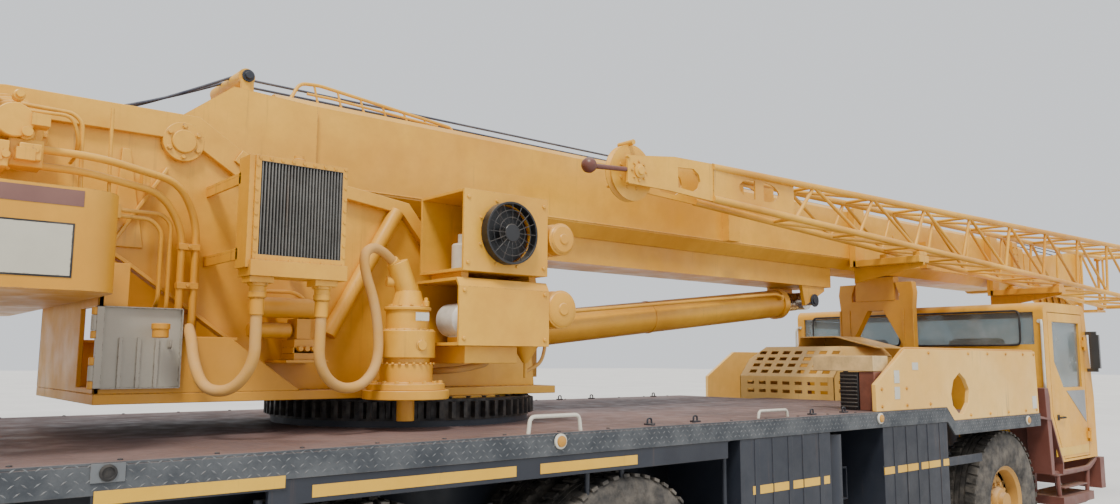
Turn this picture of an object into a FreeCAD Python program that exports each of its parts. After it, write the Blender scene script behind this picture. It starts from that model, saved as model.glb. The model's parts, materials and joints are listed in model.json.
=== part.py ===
import FreeCAD, Part
import math
import os

import Sketcher

# A three-axle mobile crane with a telescopic boom, in millimetres.
# Every sub-part is modelled about the slewing axis: X forward, Y left, Z up, Z 0 on the ground.
# The finished pieces are then shifted along X so that the origin is at the bottom centre.

# Driving dimensions, one per row: name, size.
SIZES = (
    # Ground line, wheels and tyres
    ("tyre_radius", 542), ("tyre_width", 285), ("tyre_shoulder", 45), ("rim_radius", 262),
    ("rim_wall", 16), ("hub_radius", 110), ("twin_spacing", 340), ("front_track_half", 1045),
    ("rear_track_half", 918), ("front_axle_x", 4650), ("middle_axle_x", 530), ("rear_axle_x", -820),
    ("axle_tube_radius", 75), ("kingpin_radius", 28), ("wheel_gap", 6),
    # Carrier
    ("half_width", 1250), ("carrier_rear", 2450), ("lamp_depth", 30), ("rail_outer", 460), ("rail_width", 80),
    ("rail_bottom", 880), ("rail_front", 6150), ("deck_top", 1300), ("deck_plate", 10),
    ("deck_edge", 100), ("edge_plate", 12), ("deck_step_x", 3900), ("deck_front", 5150),
    ("deck_step", 95), ("side_box_inner", 720), ("side_box_bottom", 560), ("side_box_plate", 8),
    # Outriggers
    ("outrigger_front_x", 2410), ("outrigger_rear_x", -1950), ("beam_spacing", 280),
    ("beam_width", 130), ("beam_height", 180), ("beam_middle_z", 850), ("beam_gap", 0.8),
    ("outrigger_wall", 10), ("outrigger_box_half", 1060), ("jack_y", 1165), ("jack_radius", 74),
    ("jack_inner_radius", 55), ("jack_top", 1180), ("jack_bottom", 560), ("float_radius", 130),
    ("float_thickness", 40), ("float_z", 420),
    # Rear towing jaw
    ("tow_z", 960), ("tow_jaw", 130), ("tow_plate", 40), ("tow_bore", 21), ("tow_set", 45),
    # Slewing ring
    ("ring_outer", 714), ("ring_root", 688), ("ring_bore", 606), ("ring_bottom", 1330),
    ("ring_top", 1430), ("ring_teeth", 72), ("race_gap", 0.9), ("pedestal_radius", 590), ("flange_radius", 680),
    ("fit_gap", 0.5),
    # Carrier cab
    ("cab_rear", 5410), ("cab_front", 6420), ("cab_half", 1215), ("cab_floor", 960),
    ("cab_roof", 2120), ("cab_wall", 40), ("cab_bottom", 780), ("door_rear", 5490), ("door_front", 6240),
    ("door_bottom", 800), ("door_top", 2040), ("door_gap", 6), ("glass_thickness", 6),
    # Superstructure
    ("table_plate_bottom", 1440), ("table_plate", 40), ("cheek_outer", 450), ("cheek_plate", 24),
    ("tail_rear", 1650), ("tail_half", 560), ("pin_x", -1350), ("pin_z", 2522), ("pin_radius", 50),
    ("boss_radius", 95), ("weight_rear", 2300), ("weight_front", 1715), ("weight_half", 1150),
    ("weight_bottom", 1830), ("weight_top", 2160), ("weight_corner", 120),
    ("drive_x", -398), ("drive_y", -722), ("drive_radius", 138), ("drive_flange", 190),
    ("drive_top", 1860), ("pinion_radius", 88),
    ("cooler_rear", -1215), ("cooler_front", -830), ("cooler_bottom", 1995), ("cooler_top", 2405),
    ("cooler_face", -950), ("cooler_depth", 120),
    ("box_rear", -250), ("box_front", 255), ("box_bottom", 1680), ("box_middle", 1990),
    ("box_top", 2400), ("box_face", -950), ("box_depth", 380), ("fan_x", -6), ("fan_z", 2208),
    ("fan_radius", 135), ("winch_x", -1990), ("winch_z", 2455), ("winch_radius", 140),
    ("winch_flange", 190),
    # Operator cab
    ("op_rear", -150), ("op_front", 1350), ("op_right", 520), ("op_left", 1240), ("op_floor", 1500),
    ("op_roof", 2940), ("op_wall", 35), ("op_door_rear", 60), ("op_door_front", 820),
    ("op_knee_drop", 840), ("op_window_drop", 160), ("op_window_height", 580), ("op_screen_drop", 110),
    ("op_screen_height", 810), ("op_lean", 160), ("op_door_sill", 60),
    # Boom
    ("boom_top", 2880), ("boom_bottom", 2375), ("boom_half", 270), ("boom_wall", 10),
    ("section_gap", 24), ("pad_gap", 0.6), ("boom_rear", -880), ("base_front", 7250),
    ("collar_step", 230), ("collar_length", 120), ("collar_thick", 20), ("head_front", 9280),
    ("head_sheave_x", 9050), ("head_sheave_z", 2420), ("head_sheave_radius", 200),
    ("brace_rear", 100), ("brace_front", 3880), ("brace_bottom", 2215), ("brace_half", 180),
    ("roller_x", -1000), ("roller_rise", 70), ("roller_radius", 40),
    # Lift cylinder
    ("lift_base_x", 400), ("lift_base_z", 1750), ("lift_eye_x", 3650), ("lift_eye_z", 2100),
    ("lift_radius", 108), ("lift_rod_radius", 72), ("lift_pin_radius", 38), ("lift_eye_radius", 70),
    # Lattice jib
    ("jib_pivot_x", 9350), ("jib_pivot_y", -350), ("jib_foot_x", 9310), ("jib_tip_x", 1700),
    ("jib_y", -700), ("jib_foot_half", 280), ("jib_tip_half", 75), ("jib_foot_top", 2860),
    ("jib_foot_bottom", 2270), ("jib_tip_top", 2810), ("jib_tip_bottom", 2610), ("chord_radius", 24),
    ("brace_radius", 13), ("jib_bays", 9), ("jib_sheave_x", 1050), ("jib_sheave_z", 2690),
    ("jib_sheave_radius", 165),
)


class Size:
    """A size that knows both its number and the spreadsheet expression that drives it."""

    def __init__(self, value, text):
        self.value = float(value)
        self.text = text

    def __add__(self, other):
        other = as_size(other)
        return Size(self.value + other.value, f"({self.text} + {other.text})")

    def __radd__(self, other):
        return as_size(other) + self

    def __sub__(self, other):
        other = as_size(other)
        return Size(self.value - other.value, f"({self.text} - {other.text})")

    def __rsub__(self, other):
        return as_size(other) - self

    def __mul__(self, other):
        other = as_size(other)
        return Size(self.value * other.value, f"({self.text} * {other.text})")

    def __rmul__(self, other):
        return as_size(other) * self

    def __truediv__(self, other):
        other = as_size(other)
        return Size(self.value / other.value, f"({self.text} / {other.text})")

    def __neg__(self):
        return Size(-self.value, f"(0 - {self.text})")

    def __float__(self):
        return self.value


def as_size(value):
    return value if isinstance(value, Size) else Size(value, repr(float(value)))


doc = FreeCAD.newDocument("mobile_crane")
sheet = doc.addObject("Spreadsheet::Sheet", "sizes")


class Sizes:
    """The spreadsheet's named cells, read as attributes."""


def fill_sheet():
    for row, (name, value) in enumerate(SIZES, start=1):
        sheet.set(f"A{row}", name)
        sheet.set(f"B{row}", str(value))
        sheet.setAlias(f"B{row}", name)
    doc.recompute()
    for name, value in SIZES:
        setattr(Sizes, name, Size(sheet.get(name), f"sizes.{name}"))


fill_sheet()
S = Sizes

# The frontmost reach is the jib's foot and hook block; the rearmost is the carrier's rear beam.
FRONT_REACH = S.jib_pivot_x + 70
REAR_REACH = S.carrier_rear + S.lamp_depth
SLEW_X = (REAR_REACH - FRONT_REACH) / 2

NODES = []


# Helpers that make document objects with sizes bound to the sheet

def bind(obj, prop, size):
    size = as_size(size)
    obj.setExpression(prop, size.text)


STATIONS = {}


def place(obj, x, y, z):
    STATIONS[obj.Name] = as_size(x)
    obj.Placement.Base = FreeCAD.Vector(float(x), float(y), float(z))
    bind(obj, "Placement.Base.x", x)
    bind(obj, "Placement.Base.y", y)
    bind(obj, "Placement.Base.z", z)


def in_order(low, high):
    return (low, high) if float(low) <= float(high) else (high, low)


def box(name, x_span, y_span, z_span):
    """A block between two X, two Y and two Z stations."""
    obj = doc.addObject("Part::Box", name)
    spans = [in_order(*span) for span in (x_span, y_span, z_span)]
    for prop, (low, high) in zip(("Length", "Width", "Height"), spans):
        bind(obj, prop, high - as_size(low))
    place(obj, *(low for low, high in spans))
    return obj


AXIS_TURN = {
    "X": FreeCAD.Rotation(FreeCAD.Vector(0, 1, 0), 90),
    "Y": FreeCAD.Rotation(FreeCAD.Vector(1, 0, 0), -90),
    "Z": FreeCAD.Rotation(),
}


def rod(name, axis, start, radius, length):
    """A round bar from its start point along +X, +Y or +Z."""
    obj = doc.addObject("Part::Cylinder", name)
    obj.Placement.Rotation = AXIS_TURN[axis]
    bind(obj, "Radius", radius)
    bind(obj, "Height", length)
    place(obj, *start)
    return obj


def cone(name, axis, start, radius_start, radius_end, length):
    obj = doc.addObject("Part::Cone", name)
    obj.Placement.Rotation = AXIS_TURN[axis]
    bind(obj, "Radius1", radius_start)
    bind(obj, "Radius2", radius_end)
    bind(obj, "Height", length)
    place(obj, *start)
    return obj


def fuse(name, pieces):
    obj = doc.addObject("Part::MultiFuse", name)
    obj.Shapes = pieces
    return obj


def cut(name, base, tools):
    """Takes the tools, fused when there are several, out of the base."""
    tool = tools[0] if len(tools) == 1 else fuse(name + "_tool", tools)
    obj = doc.addObject("Part::Cut", name)
    obj.Base = base
    obj.Tool = tool
    return obj


PLANE_ROLE = {"XY": "XY_Plane", "XZ": "XZ_Plane", "YZ": "YZ_Plane"}


def origin_plane(body, plane):
    for feature in body.Origin.OriginFeatures:
        if feature.Role == PLANE_ROLE[plane]:
            return feature
    raise RuntimeError("no origin plane " + plane)


def draw_loop(sketch, points):
    """A closed run of lines with each corner held at its two coordinates."""
    first = sketch.GeometryCount
    count = len(points)
    vectors = [FreeCAD.Vector(float(u), float(v), 0) for u, v in points]
    lines = [Part.LineSegment(vectors[i], vectors[(i + 1) % count]) for i in range(count)]
    sketch.addGeometry(lines, False)
    for i in range(count):
        sketch.addConstraint(Sketcher.Constraint("Coincident", first + i, 2, first + (i + 1) % count, 1))
    for i, (u, v) in enumerate(points):
        for kind, size in (("DistanceX", u), ("DistanceY", v)):
            index = sketch.addConstraint(Sketcher.Constraint(kind, -1, 1, first + i, 1, float(size)))
            sketch.setExpression(f"Constraints[{index}]", as_size(size).text)


def draw_circle(sketch, u, v, radius):
    centre = FreeCAD.Vector(float(u), float(v), 0)
    index = sketch.addGeometry(Part.Circle(centre, FreeCAD.Vector(0, 0, 1), float(radius)), False)
    rows = (
        (Sketcher.Constraint("DistanceX", -1, 1, index, 3, float(u)), u),
        (Sketcher.Constraint("DistanceY", -1, 1, index, 3, float(v)), v),
        (Sketcher.Constraint("Radius", index, float(radius)), radius),
    )
    for constraint, size in rows:
        number = sketch.addConstraint(constraint)
        sketch.setExpression(f"Constraints[{number}]", as_size(size).text)


def new_sketch(body, plane, offset):
    sketch = body.newObject("Sketcher::SketchObject", body.Name + "_sketch")
    sketch.AttachmentSupport = [(origin_plane(body, plane), "")]
    sketch.MapMode = "FlatFace"
    bind(sketch, "AttachmentOffset.Base.z", offset)
    return sketch


def profile(name, plane, outline, low, high, holes=(), rounds=()):
    """A plate or block padded from an outline between two stations square to its plane.

    A hole is a list of corners, or three sizes for a circle. Rounds hold (corner numbers, radius).
    """
    body = doc.addObject("PartDesign::Body", name)
    low, high = in_order(low, high)
    offset = -as_size(high) if plane == "XZ" else as_size(low)
    sketch = new_sketch(body, plane, offset)
    draw_loop(sketch, outline)
    for hole in holes:
        if isinstance(hole, tuple):
            draw_circle(sketch, *hole)
        else:
            draw_loop(sketch, hole)
    pad = body.newObject("PartDesign::Pad", name + "_pad")
    pad.Profile = sketch
    bind(pad, "Length", as_size(high) - low)
    doc.recompute()
    for numbers, radius in rounds:
        round_corners(body, plane, [outline[number] for number in numbers], radius)
    return body


def round_corners(body, plane, corners, radius):
    """Fillets the edges that run square to the plane through the given corners."""
    shape = body.Tip.Shape
    axes = {"XY": (0, 1, 2), "XZ": (0, 2, 1), "YZ": (1, 2, 0)}[plane]
    names = []
    for number, edge in enumerate(shape.Edges, start=1):
        ends = [tuple(vertex.Point) for vertex in edge.Vertexes]
        if len(ends) != 2:
            continue
        for corner in corners:
            target = (float(corner[0]), float(corner[1]))
            flat = all(abs(end[axes[k]] - target[k]) < 0.01 for end in ends for k in (0, 1))
            if flat and abs(ends[0][axes[2]] - ends[1][axes[2]]) > 0.01:
                names.append(f"Edge{number}")
    fillet = body.newObject("PartDesign::Fillet", body.Name + "_fillet")
    fillet.Base = (body.Tip if body.Tip != fillet else fillet.BaseFeature, names)
    bind(fillet, "Radius", radius)
    doc.recompute()


def turned(name, axis, centre, outline):
    """A body revolved about an axis through its centre, from (radius, along) corners."""
    body = doc.addObject("PartDesign::Body", name)
    sketch = new_sketch(body, "XZ", 0)
    draw_loop(sketch, outline)
    spin = body.newObject("PartDesign::Revolution", name + "_spin")
    spin.Profile = sketch
    spin.ReferenceAxis = (sketch, ["V_Axis"])
    spin.Angle = 360
    body.Placement.Rotation = AXIS_TURN[axis]
    place(body, *centre)
    return body


def feature(name, shape):
    obj = doc.addObject("Part::Feature", name)
    obj.Shape = shape
    return obj


def vector(x, y, z):
    return FreeCAD.Vector(float(x), float(y), float(z))


def bar_shape(start, end, radius):
    start, end = vector(*start), vector(*end)
    along = end - start
    return Part.makeCylinder(float(radius), along.Length, start, along)


def bars(name, rows):
    """Round bars fused into one frame, each row being (start, end, radius)."""
    shapes = [bar_shape(*row) for row in rows]
    return feature(name, shapes[0].fuse(shapes[1:]))


def bent_wire(points, bend_share=0.45):
    """Straight runs with a tangent arc at each inner point."""
    points = [vector(*point) for point in points]
    edges = []
    here = points[0]
    for before, corner, after in zip(points, points[1:], points[2:]):
        back = (before - corner)
        ahead = (after - corner)
        run = min(back.Length, ahead.Length)
        back.normalize()
        ahead.normalize()
        reach = bend_share * run
        start = corner + back * reach
        end = corner + ahead * reach
        half_angle = back.getAngle(ahead) / 2
        radius = reach * math.tan(half_angle)
        middle_way = back + ahead
        middle_way.normalize()
        middle = corner + middle_way * (radius / math.sin(half_angle) - radius)
        if (start - here).Length > 0.01:
            edges.append(Part.LineSegment(here, start).toShape())
        edges.append(Part.Arc(start, middle, end).toShape())
        here = end
    edges.append(Part.LineSegment(here, points[-1]).toShape())
    return Part.Wire(edges)


def pipe_shape(points, radius):
    wire = bent_wire(points)
    first, second = vector(*points[0]), vector(*points[1])
    section = Part.Wire(Part.makeCircle(float(radius), first, second - first))
    return wire.makePipeShell([section], True, False)


def node(label, pieces):
    """Names a finished sub-part and shifts it from the slewing axis to the part's origin."""
    obj = pieces[0] if len(pieces) == 1 else fuse(label, pieces)
    doc.recompute()
    obj.Label = label
    station = STATIONS.get(obj.Name)
    shift = SLEW_X if station is None else SLEW_X + station
    bind(obj, "Placement.Base.x", shift)
    NODES.append(obj)
    return obj


def both(side_piece):
    """Makes a piece on the right (-1) and on the left (+1)."""
    return [side_piece("right", -1), side_piece("left", 1)]


# Carrier

def outrigger_stations():
    """The two beams of each outrigger box: (place, side, beam's middle X)."""
    rows = []
    for place_name, middle in (("front", S.outrigger_front_x), ("rear", S.outrigger_rear_x)):
        rows.append((place_name, "right", -1, middle - S.beam_spacing / 2))
        rows.append((place_name, "left", 1, middle + S.beam_spacing / 2))
    return rows


def beam_channel(name, x, clearance):
    """The square section of an outrigger beam, grown by a clearance."""
    half = S.beam_width / 2 + clearance
    rise = S.beam_height / 2 + clearance
    reach = S.outrigger_box_half + 10
    return box(name, (x - half, x + half), (-reach, reach),
               (S.beam_middle_z - rise, S.beam_middle_z + rise))


def towing_plates():
    """The two plates of the rear towing jaw, which a vertical pin passes."""
    plates = []
    for low in (S.tow_z, S.tow_z + S.tow_jaw - S.tow_plate):
        plates.append(box("tow_plate", (-S.carrier_rear, -2300), (-90, 90), (low, low + S.tow_plate)))
    return plates


def chassis_frame():
    """Two rails with crossmembers, the ring's pedestal, the outrigger boxes and the deck bearers."""
    pieces = []
    rail_top = S.deck_top - S.deck_plate
    for tag, side in (("right", -1), ("left", 1)):
        pieces.append(profile("rail_" + tag, "XZ",
                              [(-S.carrier_rear + 60, S.rail_bottom), (S.cab_rear - 50, S.rail_bottom),
                               (S.cab_rear + 150, S.rail_bottom - 180), (S.rail_front, S.rail_bottom - 180),
                               (S.rail_front, S.cab_floor - 40), (S.cab_rear - 20, S.cab_floor - 40),
                               (S.cab_rear - 110, rail_top), (-S.carrier_rear + 60, rail_top)],
                              side * S.rail_outer, side * (S.rail_outer - S.rail_width)))
    inner = S.rail_outer - S.rail_width / 2
    crossings = ((-2370, 120), (-1450, 100), (-150, 100), (1150, 100), (1850, 100), (3150, 100))
    for number, (x, length) in enumerate(crossings):
        pieces.append(box(f"crossmember_{number}", (x, x + length), (-inner, inner),
                          (S.rail_bottom + 60, rail_top - 40)))
    pieces.append(box("crossmember_front", (S.rail_front - 120, S.rail_front), (-inner, inner),
                      (S.rail_bottom - 160, S.cab_floor - 80)))
    pieces.append(rod("pedestal", "Z", (0, 0, S.rail_bottom + 20), S.pedestal_radius,
                      S.ring_bottom - S.rail_bottom - 20))
    pieces.append(rod("pedestal_flange", "Z", (0, 0, S.deck_top), S.flange_radius, S.ring_bottom - S.deck_top))
    for name, x in (("front", S.outrigger_front_x), ("rear", S.outrigger_rear_x)):
        half = S.beam_spacing / 2 + S.beam_width / 2 + S.beam_gap + S.outrigger_wall
        rise = S.beam_height / 2 + S.beam_gap + S.outrigger_wall
        pieces.append(box("outrigger_box_" + name, (x - half, x + half),
                          (-S.outrigger_box_half, S.outrigger_box_half),
                          (S.beam_middle_z - rise, S.beam_middle_z + rise)))
    for x in (-2250, -1300, -500, 1250, 2050, 3250):
        pieces.append(box("deck_bearer", (x, x + 60), (-S.half_width + S.edge_plate, S.half_width - S.edge_plate),
                          (rail_top - 70, rail_top)))
    pieces += towing_plates()
    frame = fuse("frame_solid", pieces)
    pins = [rod("tow_pin_bore", "Z", (-S.carrier_rear + S.tow_set, 0, S.tow_z - 10), S.tow_bore,
                S.tow_jaw + 20)]
    channels = [beam_channel(f"channel_{name}_{side}", x, S.beam_gap)
                for name, side, sign, x in outrigger_stations()]
    node("chassis_frame", [cut("frame_cut", frame, channels + pins)])


def deck():
    """The walking deck with its checker-plate edge, stepped down over the front arches."""
    top = S.deck_top
    plate = box("deck_main", (-S.carrier_rear, S.deck_step_x), (-S.half_width, S.half_width),
                (top - S.deck_plate, top))
    pieces = [plate]
    for tag, side in (("right", -1), ("left", 1)):
        outer = side * S.half_width
        pieces.append(box("edge_" + tag, (-S.carrier_rear, S.deck_step_x), (outer, outer - side * S.edge_plate),
                          (top - S.deck_edge, top - S.deck_plate)))
        pieces.append(box("arch_deck_" + tag, (S.deck_step_x, S.deck_front),
                          (side * S.rail_outer, outer),
                          (top - S.deck_step - S.deck_plate, top - S.deck_step)))
        pieces.append(box("arch_edge_" + tag, (S.deck_step_x - 60, S.deck_front), (outer, outer - side * S.edge_plate),
                          (top - S.deck_step - S.deck_edge, top - S.deck_step)))
        pieces.append(box("arch_riser_" + tag, (S.deck_step_x - S.deck_plate, S.deck_step_x),
                          (side * S.rail_outer, outer), (top - S.deck_step - S.deck_plate, top)))
    pieces.append(box("edge_rear", (-S.carrier_rear, -S.carrier_rear + S.edge_plate),
                      (-S.half_width, S.half_width), (top - S.deck_edge, top - S.deck_plate)))
    solid = fuse("deck_solid", pieces)
    well = rod("pedestal_well", "Z", (0, 0, top - 2 * S.deck_plate), S.pedestal_radius + 6, 4 * S.deck_plate)
    node("deck", [cut("deck_cut", solid, [well])])


def side_boxes():
    """Tool boxes and skirts hung under the deck edge on both sides."""
    under = S.deck_top - S.deck_edge
    rows = (
        # rear X, front X, inner Y, bottom Z
        (1330, 2170, S.side_box_inner, S.side_box_bottom),
        (2760, 3830, S.side_box_inner, S.side_box_bottom),
        (-1230, 1230, S.half_width - 30, under - 90),
        (-2440, -2180, S.side_box_inner, S.side_box_bottom + 140),
    )
    pieces = []
    for number, (rear, front, inner, bottom) in enumerate(rows):
        for tag, side in (("right", -1), ("left", 1)):
            pieces.append(box(f"side_box_{tag}_{number}", (rear, front),
                              (side * as_size(inner), side * (S.half_width - 6)), (bottom, under)))
    node("side_boxes", pieces)


def slew_ring():
    """The fixed outer ring with its external teeth."""
    body = doc.addObject("PartDesign::Body", "slew_ring_body")
    sketch = new_sketch(body, "XY", S.ring_bottom)
    draw_circle(sketch, 0, 0, S.ring_root)
    draw_circle(sketch, 0, 0, S.ring_bore)
    ring = body.newObject("PartDesign::Pad", "ring_pad")
    ring.Profile = sketch
    bind(ring, "Length", S.ring_top - S.ring_bottom)
    pitch = 2 * math.pi * float(S.ring_root) / float(S.ring_teeth)
    tooth_sketch = new_sketch(body, "XY", S.ring_bottom + 12)
    draw_loop(tooth_sketch, [(S.ring_root - 6, -pitch * 0.3), (S.ring_outer, -pitch * 0.16),
                             (S.ring_outer, pitch * 0.16), (S.ring_root - 6, pitch * 0.3)])
    tooth = body.newObject("PartDesign::Pad", "tooth_pad")
    tooth.Profile = tooth_sketch
    bind(tooth, "Length", S.ring_top - S.ring_bottom - 24)
    doc.recompute()
    pattern = body.newObject("PartDesign::PolarPattern", "teeth")
    pattern.Originals = [tooth]
    pattern.Axis = (tooth_sketch, ["N_Axis"])
    pattern.Angle = 360
    bind(pattern, "Occurrences", S.ring_teeth)
    body.Tip = pattern
    node("slew_ring", [body])


def axles():
    """Front beam, two banjo axles, springs and prop shafts."""
    tube = S.axle_tube_radius
    pieces = []
    reach = S.front_track_half - 190
    pieces.append(box("front_beam", (S.front_axle_x - 50, S.front_axle_x + 50), (-reach, reach),
                      (S.tyre_radius - 60, S.tyre_radius + 50)))
    for side in (-1, 1):
        pieces.append(rod("kingpin_eye", "Z", (S.front_axle_x, side * reach, S.tyre_radius - 60), 55, 110))
    for tag, x in (("middle", S.middle_axle_x), ("rear", S.rear_axle_x)):
        half = S.rear_track_half - S.twin_spacing / 2 - S.tyre_width / 2 - 30
        pieces.append(rod("axle_tube_" + tag, "Y", (x, -half, S.tyre_radius), tube, 2 * half))
        pieces.append(rod("banjo_" + tag, "X", (x - 170, 0, S.tyre_radius), 210, 340))
        stub = S.rear_track_half + 60
        pieces.append(rod("stub_" + tag, "Y", (x, -stub, S.tyre_radius), 45, 2 * stub))
    for side in (-1, 1):
        y = side * (S.rail_outer - 40)
        spring_top = S.rail_bottom - 30
        pieces.append(profile(f"front_spring_{side + 1}", "XZ",
                              [(S.front_axle_x - 700, spring_top), (S.front_axle_x - 60, S.tyre_radius + 50),
                               (S.front_axle_x + 60, S.tyre_radius + 50), (S.front_axle_x + 700, spring_top),
                               (S.front_axle_x + 700, S.rail_bottom), (S.front_axle_x + 640, S.rail_bottom),
                               (S.front_axle_x + 60, S.tyre_radius + 130), (S.front_axle_x - 60, S.tyre_radius + 130),
                               (S.front_axle_x - 640, S.rail_bottom), (S.front_axle_x - 700, S.rail_bottom)],
                              y - 40, y + 40))
        middle = (S.middle_axle_x + S.rear_axle_x) / 2
        pieces.append(profile(f"rear_spring_{side + 1}", "XZ",
                              [(S.rear_axle_x - 60, S.tyre_radius), (S.rear_axle_x + 60, S.tyre_radius),
                               (middle - 80, S.rail_bottom - 170), (middle + 80, S.rail_bottom - 170),
                               (S.middle_axle_x - 60, S.tyre_radius), (S.middle_axle_x + 60, S.tyre_radius),
                               (S.middle_axle_x + 60, S.tyre_radius + 110), (middle + 80, S.rail_bottom),
                               (middle - 80, S.rail_bottom), (S.rear_axle_x - 60, S.tyre_radius + 110)],
                              y - 40, y + 40))
    shaft = S.tyre_radius + 60
    pieces.append(rod("prop_shaft_rear", "X", (S.rear_axle_x + 150, 0, S.tyre_radius + 40), 45,
                      S.middle_axle_x - S.rear_axle_x - 300))
    pieces.append(rod("prop_shaft_front", "X", (S.middle_axle_x + 150, 0, shaft), 50, 2300))
    node("axles_and_springs", pieces)


def knuckle(tag, side):
    """A steering knuckle: fork round the kingpin eye, stub axle and steering arm."""
    y = side * (S.front_track_half - 190)
    top = box("fork_top_" + tag, (S.front_axle_x - 45, S.front_axle_x + 45), (y - side * 45, y + side * 95),
              (S.tyre_radius + 50 + S.fit_gap, S.tyre_radius + 86))
    low = box("fork_low_" + tag, (S.front_axle_x - 45, S.front_axle_x + 45), (y - side * 45, y + side * 95),
              (S.tyre_radius - 96, S.tyre_radius - 60 - S.fit_gap))
    back = box("fork_back_" + tag, (S.front_axle_x - 45, S.front_axle_x + 45), (y + side * 62, y + side * 95),
               (S.tyre_radius - 96, S.tyre_radius + 86))
    stub_reach = side * (S.front_track_half + 60) - (y + side * 90)
    start, end = in_order(y + side * 90, side * (S.front_track_half + 60))
    stub = rod("stub_axle_" + tag, "Y", (S.front_axle_x, start, S.tyre_radius), 45, end - as_size(start))
    arm = box("steering_arm_" + tag, (S.front_axle_x - 260, S.front_axle_x - 30), (y - side * 20, y + side * 20),
              (S.tyre_radius - 96, S.tyre_radius - 66))
    node("knuckle_" + tag, [top, low, back, stub, arm])


def tyre(name, x, y):
    half = S.tyre_width / 2
    bead = S.rim_radius
    outer = S.tyre_radius
    shoulder = S.tyre_shoulder
    outline = [(bead, -half + 30), (bead + 70, -half), (outer - 1.6 * shoulder, -half),
               (outer - 0.3 * shoulder, -half + shoulder), (outer, -half + 2 * shoulder),
               (outer, half - 2 * shoulder), (outer - 0.3 * shoulder, half - shoulder),
               (outer - 1.6 * shoulder, half), (bead + 70, half), (bead, half - 30)]
    return turned(name, "Y", (x, y, S.tyre_radius), outline)


def rim(name, x, y, side, dish):
    """A rim with its disc; the stub axle passes a running gap inside the hub."""
    half = S.tyre_width / 2 - 30
    wall = S.rim_wall
    bore = 45 + S.fit_gap
    face = as_size(side * dish)
    low = face - 9
    high = face + 9
    outline = [(S.rim_radius, -half), (S.rim_radius, half), (S.rim_radius - wall, half),
               (S.rim_radius - wall, high), (S.hub_radius, high), (S.hub_radius, 70 + high),
               (bore, 70 + high), (bore, low - 50), (S.hub_radius, low - 50), (S.hub_radius, low),
               (S.rim_radius - wall, low), (S.rim_radius - wall, -half)]
    return turned(name, "Y", (x, y, S.tyre_radius), outline)


def wheels():
    for tag, side in (("right", -1), ("left", 1)):
        y = side * S.front_track_half
        node("wheel_front_" + tag, [tyre("tyre_front_" + tag, S.front_axle_x, y),
                                    rim("rim_front_" + tag, S.front_axle_x, y, side, 40)])
        for row, x in (("middle", S.middle_axle_x), ("rear", S.rear_axle_x)):
            pieces = []
            for place_name, offset in (("outer", S.twin_spacing / 2), ("inner", -S.twin_spacing / 2)):
                y = side * (S.rear_track_half + offset)
                pieces.append(tyre(f"tyre_{row}_{tag}_{place_name}", x, y))
            y = side * S.rear_track_half
            reach = S.twin_spacing / 2 + S.tyre_width / 2 - 30
            gap = S.twin_spacing / 2 - S.tyre_width / 2 + 30
            wall = S.rim_wall
            bore = 45 + S.fit_gap
            outline = [(S.rim_radius, -reach), (S.rim_radius, reach), (S.rim_radius - wall, reach),
                       (S.rim_radius - wall, 10), (S.hub_radius, 10), (S.hub_radius, reach - 20),
                       (bore, reach - 20), (bore, -gap), (S.hub_radius, -gap), (S.hub_radius, -10),
                       (S.rim_radius - wall, -10), (S.rim_radius - wall, -reach)]
            pieces.append(turned(f"rim_{row}_{tag}", "Y", (x, y, S.tyre_radius), outline))
            node(f"wheel_{row}_{tag}", pieces)


def outriggers():
    for place_name, tag, side, x in outrigger_stations():
        name = f"{place_name}_{tag}"
        half = S.beam_width / 2
        rise = S.beam_height / 2
        inner = side * (-0.75) * S.outrigger_box_half
        beam = box("beam_" + name, (x - half, x + half), (inner, side * (S.jack_y - S.jack_radius + 20)),
                   (S.beam_middle_z - rise, S.beam_middle_z + rise))
        leg = rod("jack_tube_" + name, "Z", (x, side * S.jack_y, S.jack_bottom), S.jack_radius,
                  S.jack_top - S.jack_bottom)
        bore = rod("jack_bore_" + name, "Z", (x, side * S.jack_y, S.jack_bottom - 5), S.jack_inner_radius + S.fit_gap,
                   S.jack_top - S.jack_bottom - 15)
        node("outrigger_beam_" + name, [cut("beam_bored_" + name, fuse("beam_solid_" + name, [beam, leg]), [bore])])
        inner_tube = rod("ram_" + name, "Z", (x, side * S.jack_y, S.float_z + 10), S.jack_inner_radius,
                         S.jack_top - 40 - S.float_z - 10)
        foot = rod("float_" + name, "Z", (x, side * S.jack_y, S.float_z - S.float_thickness), S.float_radius - 20,
                   S.float_thickness + 10)
        node("outrigger_jack_" + name, [inner_tube, foot])


def cab_side_outline(inset):
    """The carrier cab seen from the side, drawn in by an inset."""
    return [(S.cab_rear + 190, S.cab_bottom), (S.cab_front - inset, S.cab_bottom),
            (S.cab_front - inset, S.cab_bottom + 520), (S.cab_front - 110 - inset, S.cab_roof - inset),
            (S.cab_rear + inset, S.cab_roof - inset), (S.cab_rear + inset, S.cab_bottom + 370)]


def cab_room_outline():
    wall = S.cab_wall
    return [(S.cab_rear + 170, S.cab_floor), (S.cab_front - wall, S.cab_floor),
            (S.cab_front - wall, S.cab_bottom + 520), (S.cab_front - 110 - wall, S.cab_roof - wall),
            (S.cab_rear + wall, S.cab_roof - wall), (S.cab_rear + wall, S.cab_bottom + 370)]


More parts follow.
